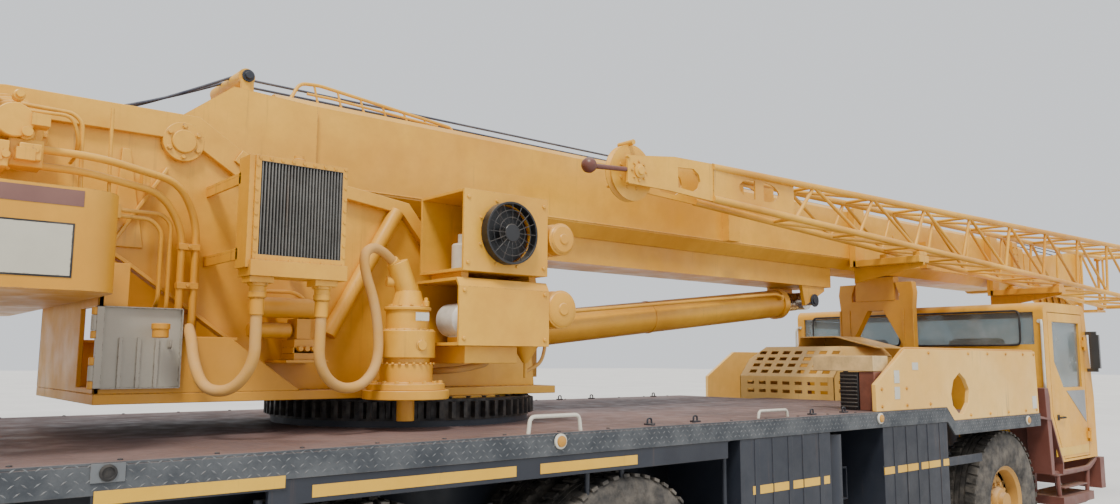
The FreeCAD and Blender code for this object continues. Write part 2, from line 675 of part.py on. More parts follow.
def carrier_cab():
    half = S.cab_half
    wall = S.cab_wall
    shell = profile("cab_outer", "XZ", cab_side_outline(0), -half, half, rounds=(((3, 4), 70),))
    room = profile("cab_room", "XZ", cab_room_outline(), -half + wall, half - wall)
    tunnel = box("frame_tunnel", (S.cab_rear - 10, S.cab_front - wall), (-S.rail_outer - 40, S.rail_outer + 40),
                 (S.cab_bottom - 10, S.cab_floor - 40))
    tools = [room, tunnel]
    for tag, side in (("right", -1), ("left", 1)):
        tools.append(box("step_well_" + tag, (S.door_rear + 220, S.door_front),
                         (side * (S.rail_outer + 80), side * (half - wall)),
                         (S.cab_bottom + 25, S.cab_floor - 30)))
        tools.append(profile("door_hole_" + tag, "XZ", door_outline(S.door_gap), side * (half + 5),
                             side * (half - wall - 5)))
        middle = side * (half - 80)
        tools.append(box("rear_window_" + tag, (S.cab_rear - 5, S.cab_rear + wall + 5), (side * 80, middle),
                         (1765, 2040)))
    tools.append(box("windscreen_hole", (S.cab_front - 260, S.cab_front + 10), (-half + 90, half - 90),
                     (S.cab_bottom + 560, S.cab_roof - 90)))
    hollow = cut("cab_hollow", shell, tools)
    hinges = []
    for tag, side in (("right", -1), ("left", 1)):
        hinges += hinge_lugs("cab_hinge_" + tag, S.door_front, side * S.cab_half, side, 1)
    node("carrier_cab", [hollow, *hinges])


def cab_windows():
    """Fixed panes: two rear windows and the windscreen."""
    half = S.cab_half
    thick = S.glass_thickness
    middle = S.cab_rear + S.cab_wall / 2
    pieces = []
    for side in (-1, 1):
        pieces.append(box("rear_pane", (middle - thick / 2, middle + thick / 2), (side * 80, side * (half - 80)),
                          (1765, 2040)))
    low = S.cab_bottom + 560
    high = S.cab_roof - 90
    lean = 110 / (float(S.cab_roof) - float(S.cab_bottom) - 520)
    x_low = S.cab_front - 20 - lean * 40
    x_high = S.cab_front - 20 - lean * (high - S.cab_bottom - 520)
    pieces.append(profile("windscreen", "XZ", [(x_low - thick, low), (x_low, low), (x_high, high),
                                               (x_high - thick, high)], -half + 90, half - 90))
    node("carrier_cab_glass", pieces)


def door_outline(grow):
    """The door from the side, its lower rear corner cut off along the mudguard."""
    rear = S.door_rear + S.door_gap - grow
    front = S.door_front - S.door_gap + grow
    low = S.door_bottom + S.door_gap - grow
    high = S.door_top - S.door_gap + grow
    return [(rear + 190, low), (front, low), (front, high), (rear, high), (rear, low + 380)]


HINGE_LEVELS = (980, 1780)
HINGE_REACH = 14
HINGE_RADIUS = 12
HINGE_BARREL = 60
HINGE_PLAY = 0.3
HINGE_LEAF = 45


def hinge_lugs(name, x, y, side, towards, levels=HINGE_LEVELS):
    """The fixed halves of a door's hinges: a short barrel above and below each door barrel."""
    pieces = []
    axis_y = y + side * HINGE_REACH
    for number, z in enumerate(levels):
        for step, low in (("low", z - HINGE_BARREL), ("high", z + HINGE_BARREL / 2)):
            high = low + HINGE_BARREL / 2
            pieces.append(rod(f"{name}_{number}_{step}", "Z", (x, axis_y, low), HINGE_RADIUS, high - low))
            pieces.append(box(f"{name}_leaf_{number}_{step}", (x, x + towards * HINGE_LEAF), (y, axis_y),
                              (low, high)))
    return pieces


def door_barrels(name, x, y, side, towards, levels=HINGE_LEVELS):
    """The door's halves of its hinges, seated between the fixed barrels."""
    pieces = []
    axis_y = y + side * HINGE_REACH
    for number, z in enumerate(levels):
        low = z - HINGE_BARREL / 2 + HINGE_PLAY
        high = z + HINGE_BARREL / 2 - HINGE_PLAY
        pieces.append(rod(f"{name}_{number}", "Z", (x, axis_y, low), HINGE_RADIUS, high - low))
        pieces.append(box(f"{name}_leaf_{number}", (x, x - towards * HINGE_LEAF), (y, axis_y), (low, high)))
    return pieces


def window_outline(grow):
    """The door's window, its lower rear corner cut off on the slant."""
    return [(S.door_rear + 90 - grow, 1620 - grow), (S.door_rear + 260, 1400 - grow),
            (S.door_front - 80 + grow, 1400 - grow), (S.door_front - 80 + grow, S.door_top - 80 + grow),
            (S.door_rear + 90 - grow, S.door_top - 80 + grow)]


def carrier_door(tag, side):
    outer = side * S.cab_half
    inner = side * (S.cab_half - S.cab_wall)
    door = profile("door_panel_" + tag, "XZ", door_outline(0), outer, inner, holes=[window_outline(0)])
    barrels = door_barrels("door_barrel_" + tag, S.door_front, outer, side, 1)
    node("carrier_door_" + tag, [door, *barrels])
    middle = side * (S.cab_half - S.cab_wall / 2)
    pane = profile("door_pane_" + tag, "XZ", window_outline(0), middle - S.glass_thickness / 2,
                   middle + S.glass_thickness / 2)
    node("carrier_door_glass_" + tag, [pane])


def cab_fittings():
    """Two seats, the dashboard and the steering wheel."""
    floor = S.cab_floor
    pieces = []
    for tag, side in (("right", -1), ("left", 1)):
        y = side * 560
        pieces.append(box("seat_base_" + tag, (5620, 5990), (y - 180, y + 180), (floor, floor + 200)))
        pieces.append(box("seat_cushion_" + tag, (5600, 6040), (y - 230, y + 230), (floor + 200, floor + 300)))
        pieces.append(profile("seat_back_" + tag, "XZ", [(5600, floor + 300), (5700, floor + 300),
                                                         (5640, floor + 850), (5550, floor + 850)],
                              y - 220, y + 220))
    pieces.append(profile("dashboard", "XZ", [(6280, floor + 250), (S.cab_front - S.cab_wall, floor + 250),
                                              (S.cab_front - S.cab_wall, floor + 330), (6260, floor + 400)],
                          -S.cab_half + S.cab_wall, S.cab_half - S.cab_wall))
    node("carrier_cab_fittings", pieces)


def engine():
    reach = S.rail_outer - S.rail_width
    pieces = [box("engine_mass", (3950, 5000), (-330, 330), (760, 1250))]
    for x in (4050, 4800):
        pieces.append(box("engine_mount", (x, x + 80), (-reach, reach), (960, 1010)))
    node("engine_block", pieces)


def engine_cover():
    """The slotted cover over the engine, open underneath."""
    outer = profile("cover_outer", "YZ", [(-200, S.deck_top), (750, S.deck_top), (750, 1640), (640, 1760),
                                          (-120, 1760), (-200, 1680)], 3850, 4760)
    room = profile("cover_room", "YZ", [(-190, S.deck_top - 5), (740, S.deck_top - 5), (740, 1636), (636, 1750),
                                        (-116, 1750), (-190, 1676)], 3860, 4750)
    tools = [room]
    for row in range(3):
        z = 1400 + 110 * row
        for column in range(5):
            y = -110 + 160 * column
            tools.append(box("slot_rear", (3840, 3870), (y, y + 110), (z, z + 45)))
        for column in range(5):
            x = 3920 + 160 * column
            tools.append(box("slot_side", (x, x + 110), (-210, -180), (z, z + 45)))
    node("engine_cover", [cut("cover_cut", outer, tools)])


def side_panels():
    """Yellow side panels above the deck, their rear top corner cut on the slant."""
    pieces = []
    for tag, side in (("right", -1), ("left", 1)):
        pieces.append(profile("side_panel_" + tag, "XZ",
                              [(2680, S.deck_top), (S.deck_step_x, S.deck_top), (S.deck_step_x, 1205), (5140, 1205),
                               (5120, 1700), (3080, 1700), (2690, 1470)],
                              side * (S.half_width - 4), side * (S.half_width - 34)))
    node("side_panels", pieces)


def boom_rest():
    pieces = []
    for side in (-1, 1):
        foot = S.deck_top - S.deck_step
        pieces.append(profile("rest_leg", "YZ", [(side * 560, foot), (side * 470, foot),
                                                 (side * 440, 2050), (side * 530, 2050)], 4860, 4940))
        pieces.append(profile("rest_horn", "YZ", [(side * 330, 2050), (side * 530, 2050), (side * 530, 2340),
                                                  (side * 490, 2340)], 4870, 4930))
    pieces.append(box("rest_bar", (4850, 4950), (-530, 530), (2050, 2170)))
    pieces.append(box("rest_pad", (4840, 4960), (-200, 200), (2170, S.boom_bottom - 4)))
    node("boom_rest", pieces)


def steps_and_mudguards():
    pieces = []
    for tag, side in (("right", -1), ("left", 1)):
        outer = side * (S.half_width - 10)
        pieces.append(profile("front_mudguard_" + tag, "XZ",
                              [(5150, 1165), (5385, 1138), (5570, 775), (5560, 690), (5578, 690),
                               (5588, 780), (5398, 1150), (5150, 1185)], side * 880, outer))
        pieces.append(box("step_box_" + tag, (5540, 6200), (outer, side * 900), (430, 500)))
        for x in (5640, 6150):
            pieces.append(box("step_hanger_" + tag, (x, x + 40), (side * 940, side * 980), (500, S.cab_bottom)))
    pieces.append(box("bumper", (6420, 6520), (-S.half_width + 20, S.half_width - 20), (500, 770)))
    for side in (-1, 1):
        pieces.append(box("bumper_arm", (6100, 6420), (side * 380, side * 440), (560, S.rail_bottom - 180)))
        pieces.append(box("bumper_drop", (6050, 6150), (side * 380, side * 460), (560, S.rail_bottom - 180)))
    node("bumper_and_steps", pieces)


def lamps_and_mirrors():
    pieces = []
    for side in (-1, 1):
        y = side * 900
        pieces.append(rod("headlamp", "X", (6520, y, 640), 85, 25))
        pieces.append(box("tail_lamp", (-S.carrier_rear - S.lamp_depth, -S.carrier_rear), (side * 1000, side * 1200),
                          (S.deck_top - 90, S.deck_top - 20)))
        pieces.append(box("mirror", (6300, 6330), (side * (S.cab_half + 110), side * (S.cab_half + 30)),
                          (1560, 1860)))
        for z in (1530, 1860):
            pieces.append(box("mirror_arm", (6305, 6325), (side * S.cab_half, side * (S.cab_half + 90)), (z, z + 30)))
    node("lamps_and_mirrors", pieces)


# Superstructure

CABINET_LEVELS = (1560, 1750)
CABINET_HINGE = (-S.tail_rear - HINGE_REACH, -S.tail_half - HINGE_REACH)
CABINET_BOTTOM = 1500
CABINET_TOP = 1815
CABINET_WIDTH = 314
CABINET_PLATE = 20
CABINET_SET = 8


def cabinet_lugs():
    """The fixed hinge barrels of the cabinet door, outside the tail's right rear corner."""
    x, y = CABINET_HINGE
    inset = 4
    corner = HINGE_REACH + CABINET_SET
    pieces = []
    for z in CABINET_LEVELS:
        for low in (z - HINGE_BARREL, z + HINGE_BARREL / 2):
            pieces.append(rod("cabinet_lug", "Z", (x, y, low), HINGE_RADIUS, HINGE_BARREL / 2))
            pieces.append(box("cabinet_lug_leaf", (x + inset, x + corner), (y + inset, y + corner),
                              (low, low + HINGE_BARREL / 2)))
    return pieces


def turntable():
    cheek = [(-2250, 2230), (-2250, 2600), (-2000, 2636), (-1290, 2640), (-1058, 2493), (-271, 2385),
             (-60, 2132), (520, 1860), (560, 1480), (-1640, 1480), (-1640, 2180)]
    pieces = []
    for tag, side in (("right", -1), ("left", 1)):
        pieces.append(profile("cheek_" + tag, "XZ", cheek, side * S.cheek_outer,
                              side * (S.cheek_outer - S.cheek_plate)))
    base_top = S.table_plate_bottom + S.table_plate
    pieces.append(box("table_plate", (-S.tail_rear, 620), (-S.tail_half, S.tail_half),
                      (S.table_plate_bottom, base_top)))
    pieces.append(rod("drive_seat", "Z", (S.drive_x, S.drive_y, S.table_plate_bottom), S.drive_flange + 20,
                      S.table_plate))
    pieces.append(rod("race_solid", "Z", (0, 0, S.ring_bottom + 8), S.ring_bore - S.race_gap,
                      S.table_plate_bottom - S.ring_bottom - 8))
    inner = S.cheek_outer - S.cheek_plate
    pieces.append(box("front_wall", (480, 510), (-inner, inner), (base_top, 1620)))
    pieces.append(box("rear_wall", (-S.tail_rear, -S.tail_rear + 20), (-S.tail_half, S.tail_half), (base_top, 1900)))
    pieces.append(box("tail_floor_cover", (-S.tail_rear, -1000), (-S.tail_half, S.tail_half), (1880, 1900)))
    pieces.append(box("weight_shelf", (-2200, -S.tail_rear + 10), (-S.cheek_outer, S.cheek_outer),
                      (S.weight_top, 2260)))
    pieces.append(rod("lift_base_pin", "Y", (S.lift_base_x, -inner, S.lift_base_z), S.lift_pin_radius, 2 * inner))
    pieces += cabinet_lugs()
    pieces.append(box("cab_bracket", (100, 200), (inner, S.op_left - 40), (base_top - 30, base_top)))
    pieces.append(box("box_bracket", (-200, 200), (-inner, S.box_face + 50), (S.box_bottom - 80, S.box_bottom)))
    for side in (-1, 1):
        y0, y1 = in_order(side * S.cheek_outer, side * (S.cheek_outer + 30))
        pieces.append(rod("pin_boss", "Y", (S.pin_x, y0, S.pin_z), S.boss_radius, as_size(y1) - y0))
    solid = fuse("turntable_solid", pieces)
    pin_bore = rod("pin_bore", "Y", (S.pin_x, -600, S.pin_z), S.pin_radius + S.fit_gap, 1200)
    cabinet = box("cabinet_opening", (-S.tail_rear - 5, -S.tail_rear + 25), (-S.tail_half + 20, -S.tail_half + 300),
                  (CABINET_BOTTOM, CABINET_TOP))
    node("turntable", [cut("turntable_cut", solid, [pin_bore, cabinet])])


def counterweight():
    front = -S.weight_front
    rear = -S.weight_rear
    corner = S.weight_corner
    outline = [(front, -S.weight_half), (front, S.weight_half), (rear, S.weight_half), (rear, -S.weight_half)]
    block = profile("weight_block", "XY", outline, S.weight_bottom, S.weight_top, rounds=(((0, 1, 2, 3), corner),))
    node("counterweight", [block])


def winches():
    inner = S.cheek_outer - S.cheek_plate
    pieces = []
    for number, x in enumerate((S.winch_x,)):
        pieces.append(turned(f"winch_drum_{number}", "Y", (x, 0, S.winch_z),
                             [(40, -inner + 2), (S.winch_flange, -inner + 2), (S.winch_flange, -inner + 22),
                              (S.winch_radius, -inner + 22), (S.winch_radius, inner - 22),
                              (S.winch_flange, inner - 22), (S.winch_flange, inner - 2), (40, inner - 2)]))
        pieces.append(rod(f"winch_shaft_{number}", "Y", (x, -inner, S.winch_z), 40, 2 * inner))
    motor_y = -(S.cheek_outer + 260)
    pieces.append(rod("winch_gearbox", "Y", (S.winch_x, motor_y, S.winch_z), 110, 260))
    node("winches", pieces)


def swing_drive():
    seat = S.table_plate_bottom + S.table_plate
    at = (S.drive_x, S.drive_y)
    pieces = [
        rod("drive_flange_disc", "Z", (*at, seat), S.drive_flange, 30),
        rod("drive_body", "Z", (*at, seat + 30), S.drive_radius, 1760 - seat - 30),
        cone("drive_neck", "Z", (*at, 1760), S.drive_radius, 90, S.drive_top - 1760),
        rod("drive_motor", "Z", (*at, S.drive_top), 70, 190),
        rod("drive_shaft", "Z", (*at, S.ring_bottom + 10), 40, S.table_plate_bottom - S.ring_bottom - 10),
    ]
    node("swing_drive", pieces)


def oil_cooler():
    back = S.cooler_face + S.cooler_depth
    outer = box("cooler_frame_block", (S.cooler_rear, S.cooler_front), (S.cooler_face, back),
                (S.cooler_bottom, S.cooler_top))
    opening = box("cooler_opening", (S.cooler_rear + 22, S.cooler_front - 22), (S.cooler_face - 5, S.cooler_face + 25),
                  (S.cooler_bottom + 22, S.cooler_top - 22))
    frame = cut("cooler_frame", outer, [opening])
    brackets = [box("cooler_bracket", (x, x + 40), (back, -S.cheek_outer), (2330, 2370)) for x in (-1200, -890)]
    node("oil_cooler", [frame, *brackets])


def equipment_boxes():
    back = S.box_face + S.box_depth
    outer = box("box_block", (S.box_rear, S.box_front), (S.box_face, back), (S.box_bottom, S.box_top))
    wall = 16
    upper = box("upper_room", (S.box_rear - 5, S.box_front - wall), (S.box_face + wall, back - wall),
                (S.box_middle + wall, S.box_top - wall))
    lower = box("lower_room", (S.box_rear - 5, S.box_front - wall), (S.box_face + wall, back - wall),
                (S.box_bottom + wall, S.box_middle - wall))
    fan_hole = rod("fan_hole", "Y", (S.fan_x, S.box_face - 5, S.fan_z), S.fan_radius + 8, 40)
    frame = cut("box_frame", outer, [upper, lower, fan_hole])
    filters = [rod("filter", "X", (S.box_front, S.box_face + 90, z), 75, 150) for z in (2215, 1867)]
    motor = box("fan_motor", (S.fan_x - 40, S.fan_x + 40), (S.box_face + 58 + 0.3, back - wall),
                (S.fan_z - 40, S.fan_z + 40))
    node("equipment_boxes", [frame, motor, *filters])


def cooler_fan():
    pieces = [rod("fan_hub", "Y", (S.fan_x, S.box_face + 8, S.fan_z), 32, 50)]
    blades = []
    for number in range(8):
        turn = number * math.pi / 4
        blade = Part.makeBox(float(S.fan_radius) - 26, 6, 40, FreeCAD.Vector(22, -3, -20))
        blade.rotate(FreeCAD.Vector(0, 0, 0), FreeCAD.Vector(1, 0, 0), 30)
        blade.rotate(FreeCAD.Vector(0, 0, 0), FreeCAD.Vector(0, 1, 0), math.degrees(turn))
        blade.translate(vector(S.fan_x, float(S.box_face) + 33, S.fan_z))
        blades.append(blade)
    fan = feature("fan_blades", blades[0].fuse(blades[1:]))
    node("cooler_fan", [pieces[0], fan])


def pipes():
    """Hard hydraulic pipes along the right cheek."""
    rows = (
        # radius, route
        (22, [(-1879.7, -620, 2470), (-1750, -620, 2470), (-1330, -560, 2390), (-1200, -510, 2250),
              (-1200, -510, 1900.3)]),
        (22, [(-1879.7, -560, 2400), (-1750, -560, 2400), (-1400, -530, 2330), (-1290, -500, 2170),
              (-1290, -500, 1900.3)]),
    )
    shapes = [pipe_shape(route, radius) for radius, route in rows]
    node("hydraulic_pipes", [feature("pipe_runs", Part.makeCompound(shapes))])


OP_HINGE_LEVELS = (1750, 2650)


def op_window_span():
    """Low and high edge of the side and rear windows, hung from the roof."""
    high = S.op_roof - S.op_window_drop
    return (high - S.op_window_height, high)


def op_screen_span():
    """Low and high edge of the front window."""
    high = S.op_roof - S.op_screen_drop
    return (high - S.op_screen_height, high)


def operator_cab():
    """The operator's cab shell with its windows and door opening cut."""
    wall = S.op_wall
    outline = [(S.op_rear, S.op_floor), (S.op_front, S.op_floor), (S.op_front, S.op_roof - S.op_knee_drop),
               (S.op_front - S.op_lean, S.op_roof), (S.op_rear, S.op_roof)]
    inner = [(S.op_rear + wall, S.op_floor + wall), (S.op_front - wall, S.op_floor + wall),
             (S.op_front - wall, S.op_roof - S.op_knee_drop), (S.op_front - S.op_lean - wall, S.op_roof - wall),
             (S.op_rear + wall, S.op_roof - wall)]
    shell = profile("op_outer", "XZ", outline, S.op_right, S.op_left, rounds=(((3, 4), 60),))
    room = profile("op_room", "XZ", inner, S.op_right + wall, S.op_left - wall)
    door = box("op_door_hole", (S.op_door_rear, S.op_door_front), (S.op_left - wall - 5, S.op_left + 5),
               (S.op_floor + S.op_door_sill, S.op_roof - S.op_screen_drop))
    front = box("op_front_hole", (S.op_front - 260, S.op_front + 10), (S.op_right + 80, S.op_left - 80),
                op_screen_span())
    side = box("op_side_hole", (S.op_door_front + 60, S.op_front - 260), (S.op_right - 5, S.op_left + 5),
               op_window_span())
    rear = box("op_rear_hole", (S.op_rear - 5, S.op_rear + wall + 5), (S.op_right + 100, S.op_left - 100),
               op_window_span())
    right = box("op_right_hole", (S.op_rear + 150, S.op_door_front), (S.op_right - 5, S.op_right + wall + 5),
                op_window_span())
    hollow = cut("op_hollow", shell, [room, door, front, side, rear, right])
    feet = box("op_feet", (S.op_rear + 200, S.op_front - 300), (S.tail_half, S.op_left - 100),
               (S.table_plate_bottom + 40, S.op_floor))
    hinges = hinge_lugs("op_hinge", S.op_door_rear, S.op_left, 1, -1, OP_HINGE_LEVELS)
    node("operator_cab", [hollow, feet, *hinges])


def operator_cab_inside():
    floor = S.op_floor + S.op_wall
    middle = (S.op_right + S.op_left) / 2
    pieces = [
        box("op_seat_base", (180, 520), (middle - 170, middle + 170), (floor, floor + 330)),
        box("op_seat_cushion", (160, 600), (middle - 220, middle + 220), (floor + 330, floor + 430)),
        profile("op_seat_back", "XZ", [(160, floor + 430), (250, floor + 430), (190, floor + 980), (110, floor + 980)],
                middle - 210, middle + 210),
        box("op_console", (980, 1150), (middle - 200, middle + 200), (floor, floor + 650)),
    ]
    node("operator_cab_fittings", pieces)


def operator_glass():
    thick = S.glass_thickness
    wall = S.op_wall
    left = S.op_left - wall / 2
    right = S.op_right + wall / 2
    rear = S.op_rear + wall / 2
    low, high = op_screen_span()
    knee = S.op_roof - S.op_knee_drop
    x_low = S.op_front - wall / 2
    x_high = x_low - S.op_lean * (high - knee) / S.op_knee_drop
    pieces = [
        box("op_pane_left", (S.op_door_front + 60, S.op_front - 260), (left - thick / 2, left + thick / 2),
            op_window_span()),
        box("op_pane_side", (S.op_door_front + 60, S.op_front - 260), (right - thick / 2, right + thick / 2),
            op_window_span()),
        box("op_pane_right", (S.op_rear + 150, S.op_door_front), (right - thick / 2, right + thick / 2),
            op_window_span()),
        box("op_pane_rear", (rear - thick / 2, rear + thick / 2), (S.op_right + 100, S.op_left - 100),
            op_window_span()),
        profile("op_pane_front", "XZ", [(x_low - thick, low), (x_low, low), (x_low, knee), (x_high, high),
                                        (x_high - thick, high), (x_low - thick, knee)],
                S.op_right + 80, S.op_left - 80),
    ]
    node("operator_cab_glass", pieces)


def operator_door():
    gap = S.door_gap
    low = S.op_floor + S.op_door_sill + gap
    high = S.op_roof - S.op_screen_drop - gap
    rear = S.op_door_rear + gap
    front = S.op_door_front - gap
    frame = 74
    sill = high - S.op_window_height
    outline = [(rear, low), (front, low), (front, high), (rear, high)]
    window = [(rear + frame, sill), (front - frame, sill), (front - frame, high - frame), (rear + frame, high - frame)]
    door = profile("op_door_panel", "XZ", outline, S.op_left - S.op_wall, S.op_left, holes=[window])
    barrels = door_barrels("op_barrel", S.op_door_rear, S.op_left, 1, -1, OP_HINGE_LEVELS)
    node("operator_door", [door, *barrels])


def cabinet_door():
    """The cabinet's door at the tail, standing open along the right side."""
    x, y = CABINET_HINGE
    start = x + HINGE_REACH + CABINET_SET + 2
    skin = (y + CABINET_SET - CABINET_PLATE, y + CABINET_SET)
    pieces = [box("cabinet_panel", (start, start + CABINET_WIDTH), skin, (CABINET_BOTTOM, CABINET_TOP))]
    for z in CABINET_LEVELS:
        low = z - HINGE_BARREL / 2 + HINGE_PLAY
        high = z + HINGE_BARREL / 2 - HINGE_PLAY
        pieces.append(rod("cabinet_barrel", "Z", (x, y, low), HINGE_RADIUS, high - low))
        pieces.append(box("cabinet_leaf", (x, start + 30), skin, (low, high)))
    node("cabinet_door", pieces)


# Boom

def section_outline(shrink):
    """The boom's cross-section in Y and Z, drawn in by a shrink."""
    half = S.boom_half - shrink
    top = S.boom_top - shrink
    bottom = S.boom_bottom + shrink
    chamfer = 75
    return [(-half + chamfer, bottom), (half - chamfer, bottom), (half, bottom + chamfer), (half, top - 30),
            (half - 30, top), (-half + 30, top), (-half, top - 30), (-half, bottom + chamfer)]


def shrink_of(section):
    return section * (S.boom_wall + S.section_gap)


def tube_section(name, section, rear, front):
    """A hollow boom section."""
    shrink = shrink_of(section)
    return profile(name, "YZ", section_outline(shrink), rear, front,
                   holes=[section_outline(shrink + S.boom_wall)])


def collar(name, section, rear, front, grow):
    """A front collar, thicker outside, whose pads reach in to the next section."""
    shrink = shrink_of(section)
    return profile(name, "YZ", section_outline(shrink - grow), rear, front,
                   holes=[section_outline(shrink_of(section + 1) - S.pad_gap)])


def boom_base():
    front = S.base_front
    pieces = [
        tube_section("base_tube", 0, S.boom_rear, front - S.collar_length),
        collar("base_collar", 0, front - S.collar_length, front, S.collar_thick),
    ]
    outer = S.boom_half
    inner = S.boom_half - 26
    slope = math.tan(math.radians(25))
    for tag, side in (("right", -1), ("left", 1)):
        pieces.append(profile("foot_plate_" + tag, "XZ",
                              [(S.pin_x - 80, S.pin_z - 90), (S.pin_x + 120, S.pin_z - 130), (S.boom_rear, S.boom_bottom),
                               (S.boom_rear + 200, S.boom_bottom + 75), (S.boom_rear + 200, S.boom_top - 40),
                               (S.boom_rear, S.boom_top - 30), (S.pin_x + 260, S.boom_top - 20),
                               (S.pin_x, S.pin_z + 130), (S.pin_x - 80, S.pin_z + 90)],
                              side * outer, side * (outer + 26)))
        y0, y1 = in_order(side * outer, side * (S.cheek_outer - S.cheek_plate - 6))
        pieces.append(rod("foot_boss_" + tag, "Y", (S.pin_x, y0, S.pin_z), S.boss_radius, as_size(y1) - y0))
        pieces.append(profile("brace_side_" + tag, "XZ",
                              [(S.brace_rear, S.boom_bottom), (S.brace_rear + 150, S.brace_bottom),
                               (S.brace_front, S.brace_bottom), (S.brace_front, S.boom_bottom)],
                              side * S.brace_half, side * (S.brace_half - 12)))
        pieces.append(profile("lift_ear_" + tag, "XZ",
                              [(S.lift_eye_x - 160, S.brace_bottom + 6),
                               (S.lift_eye_x - 120, S.lift_eye_z + 11 - 120 * slope),
                               (S.lift_eye_x + 150, S.lift_eye_z + 11 + 150 * slope),
                               (S.lift_eye_x + 150, S.brace_bottom + 6)],
                              side * 170, side * 140))
        pieces.append(box("roller_ear_" + tag, (S.roller_x - 30, S.roller_x + 30), (side * 200, side * 215),
                          (S.boom_top - 45, S.boom_top + S.roller_rise)))
    pieces.append(rod("foot_pin", "Y", (S.pin_x, -S.cheek_outer - 30, S.pin_z), S.pin_radius, 2 * S.cheek_outer + 60))
    pieces.append(box("foot_top", (S.pin_x + 260, S.boom_rear), (-outer, outer), (S.boom_top - 40, S.boom_top - 30)))
    pieces.append(box("brace_floor", (S.brace_rear + 150, S.brace_front), (-S.brace_half, S.brace_half),
                      (S.brace_bottom, S.brace_bottom + 12)))
    pieces.append(rod("rope_roller", "Y", (S.roller_x, -200, S.boom_top + S.roller_rise), S.roller_radius, 400))
    for x in (2400, 5200):
        pieces.append(box("jib_hanger", (x, x + 120), (-S.boom_half, -S.boom_half - 60), (2460, 2700)))
    solid = fuse("boom_base_solid", pieces)
    notch = rod("lift_pin_notch", "Y", (S.lift_eye_x, -180, S.lift_eye_z), S.lift_pin_radius + S.fit_gap, 360)
    node("boom_base", [cut("boom_base_cut", solid, [notch])])


def boom_section(section, label):
    front = S.base_front + section * S.collar_step
    rear = S.boom_rear + 150 + 60 * section
    pieces = [
        tube_section(label + "_tube", section, rear, front - S.collar_length),
        collar(label + "_collar", section, front - S.collar_length, front, 12),
    ]
    node(label, pieces)


def boom_head():
    section = 3
    shrink = shrink_of(section)
    front = S.base_front + section * S.collar_step
    rear = S.boom_rear + 150 + 60 * section
    cheek_rear = front - S.collar_step + 15
    pieces = [tube_section("head_tube", section, rear, front)]
    for tag, side in (("right", -1), ("left", 1)):
        y = side * (S.boom_half - shrink)
        pieces.append(profile("head_cheek_" + tag, "XZ",
                              [(cheek_rear, S.boom_top - shrink - 30), (cheek_rear, S.boom_bottom + shrink + 75),
                               (S.head_sheave_x - 330, S.head_sheave_z - 60), (S.head_sheave_x - 120, S.head_sheave_z - 130),
                               (S.head_sheave_x + 120, S.head_sheave_z - 120), (S.head_front - 20, S.head_sheave_z + 60),
                               (S.head_front, S.boom_top + 20), (S.head_front - 200, S.boom_top + 60),
                               (S.head_sheave_x - 300, S.boom_top + 10)],
                              y, y + side * 20))
    inner = S.boom_half - shrink
    for number in range(4):
        y = -105 + 70 * number
        pieces.append(turned(f"head_sheave_{number}", "Y", (S.head_sheave_x, y, S.head_sheave_z),
                             [(40, -22), (60, -22), (S.head_sheave_radius, -22), (S.head_sheave_radius - 16, -4),
                              (S.head_sheave_radius - 16, 4), (S.head_sheave_radius, 22), (40, 22)]))
    pieces.append(rod("head_sheave_pin", "Y", (S.head_sheave_x, -inner, S.head_sheave_z), 40, 2 * inner))
    pieces.append(rod("top_sheave", "Y", (S.head_front - 200, -30, S.boom_top - 90), 130, 60))
    pieces.append(rod("top_sheave_pin", "Y", (S.head_front - 200, -inner, S.boom_top - 90), 30, 2 * inner))
    pieces.append(box("head_web", (front, front + 20), (-inner, inner), (S.boom_bottom + shrink, S.boom_top - shrink)))
    # Hinge lugs of the jib
    for z in (S.jib_foot_top + 34, S.jib_foot_bottom - 60):
        pieces.append(box("jib_lug", (S.head_front - 160, S.jib_pivot_x + 40), (-inner - 20, S.jib_pivot_y - 40),
                          (z, z + 26)))
    pieces.append(box("jib_lug_post", (S.head_front - 160, S.head_front - 100), (-inner - 60, -inner - 20),
                      (S.jib_foot_bottom - 60, S.jib_foot_top + 60)))
    pieces.append(rod("jib_hinge_pin", "Z", (S.jib_pivot_x, S.jib_pivot_y, S.jib_foot_bottom - 60), 16,
                      S.jib_foot_top - S.jib_foot_bottom + 120))
    node("boom_head", pieces)


def jib_corner(share, side, level):
    """A point on one of the jib's four chords: share 0 at the foot, 1 at the tip."""
    x = float(S.jib_foot_x) + share * (float(S.jib_tip_x) - float(S.jib_foot_x))
    half = float(S.jib_foot_half) + share * (float(S.jib_tip_half) - float(S.jib_foot_half))
    top = float(S.jib_foot_top) + share * (float(S.jib_tip_top) - float(S.jib_foot_top))
    bottom = float(S.jib_foot_bottom) + share * (float(S.jib_tip_bottom) - float(S.jib_foot_bottom))
    return (x, float(S.jib_y) + side * half, top if level > 0 else bottom)


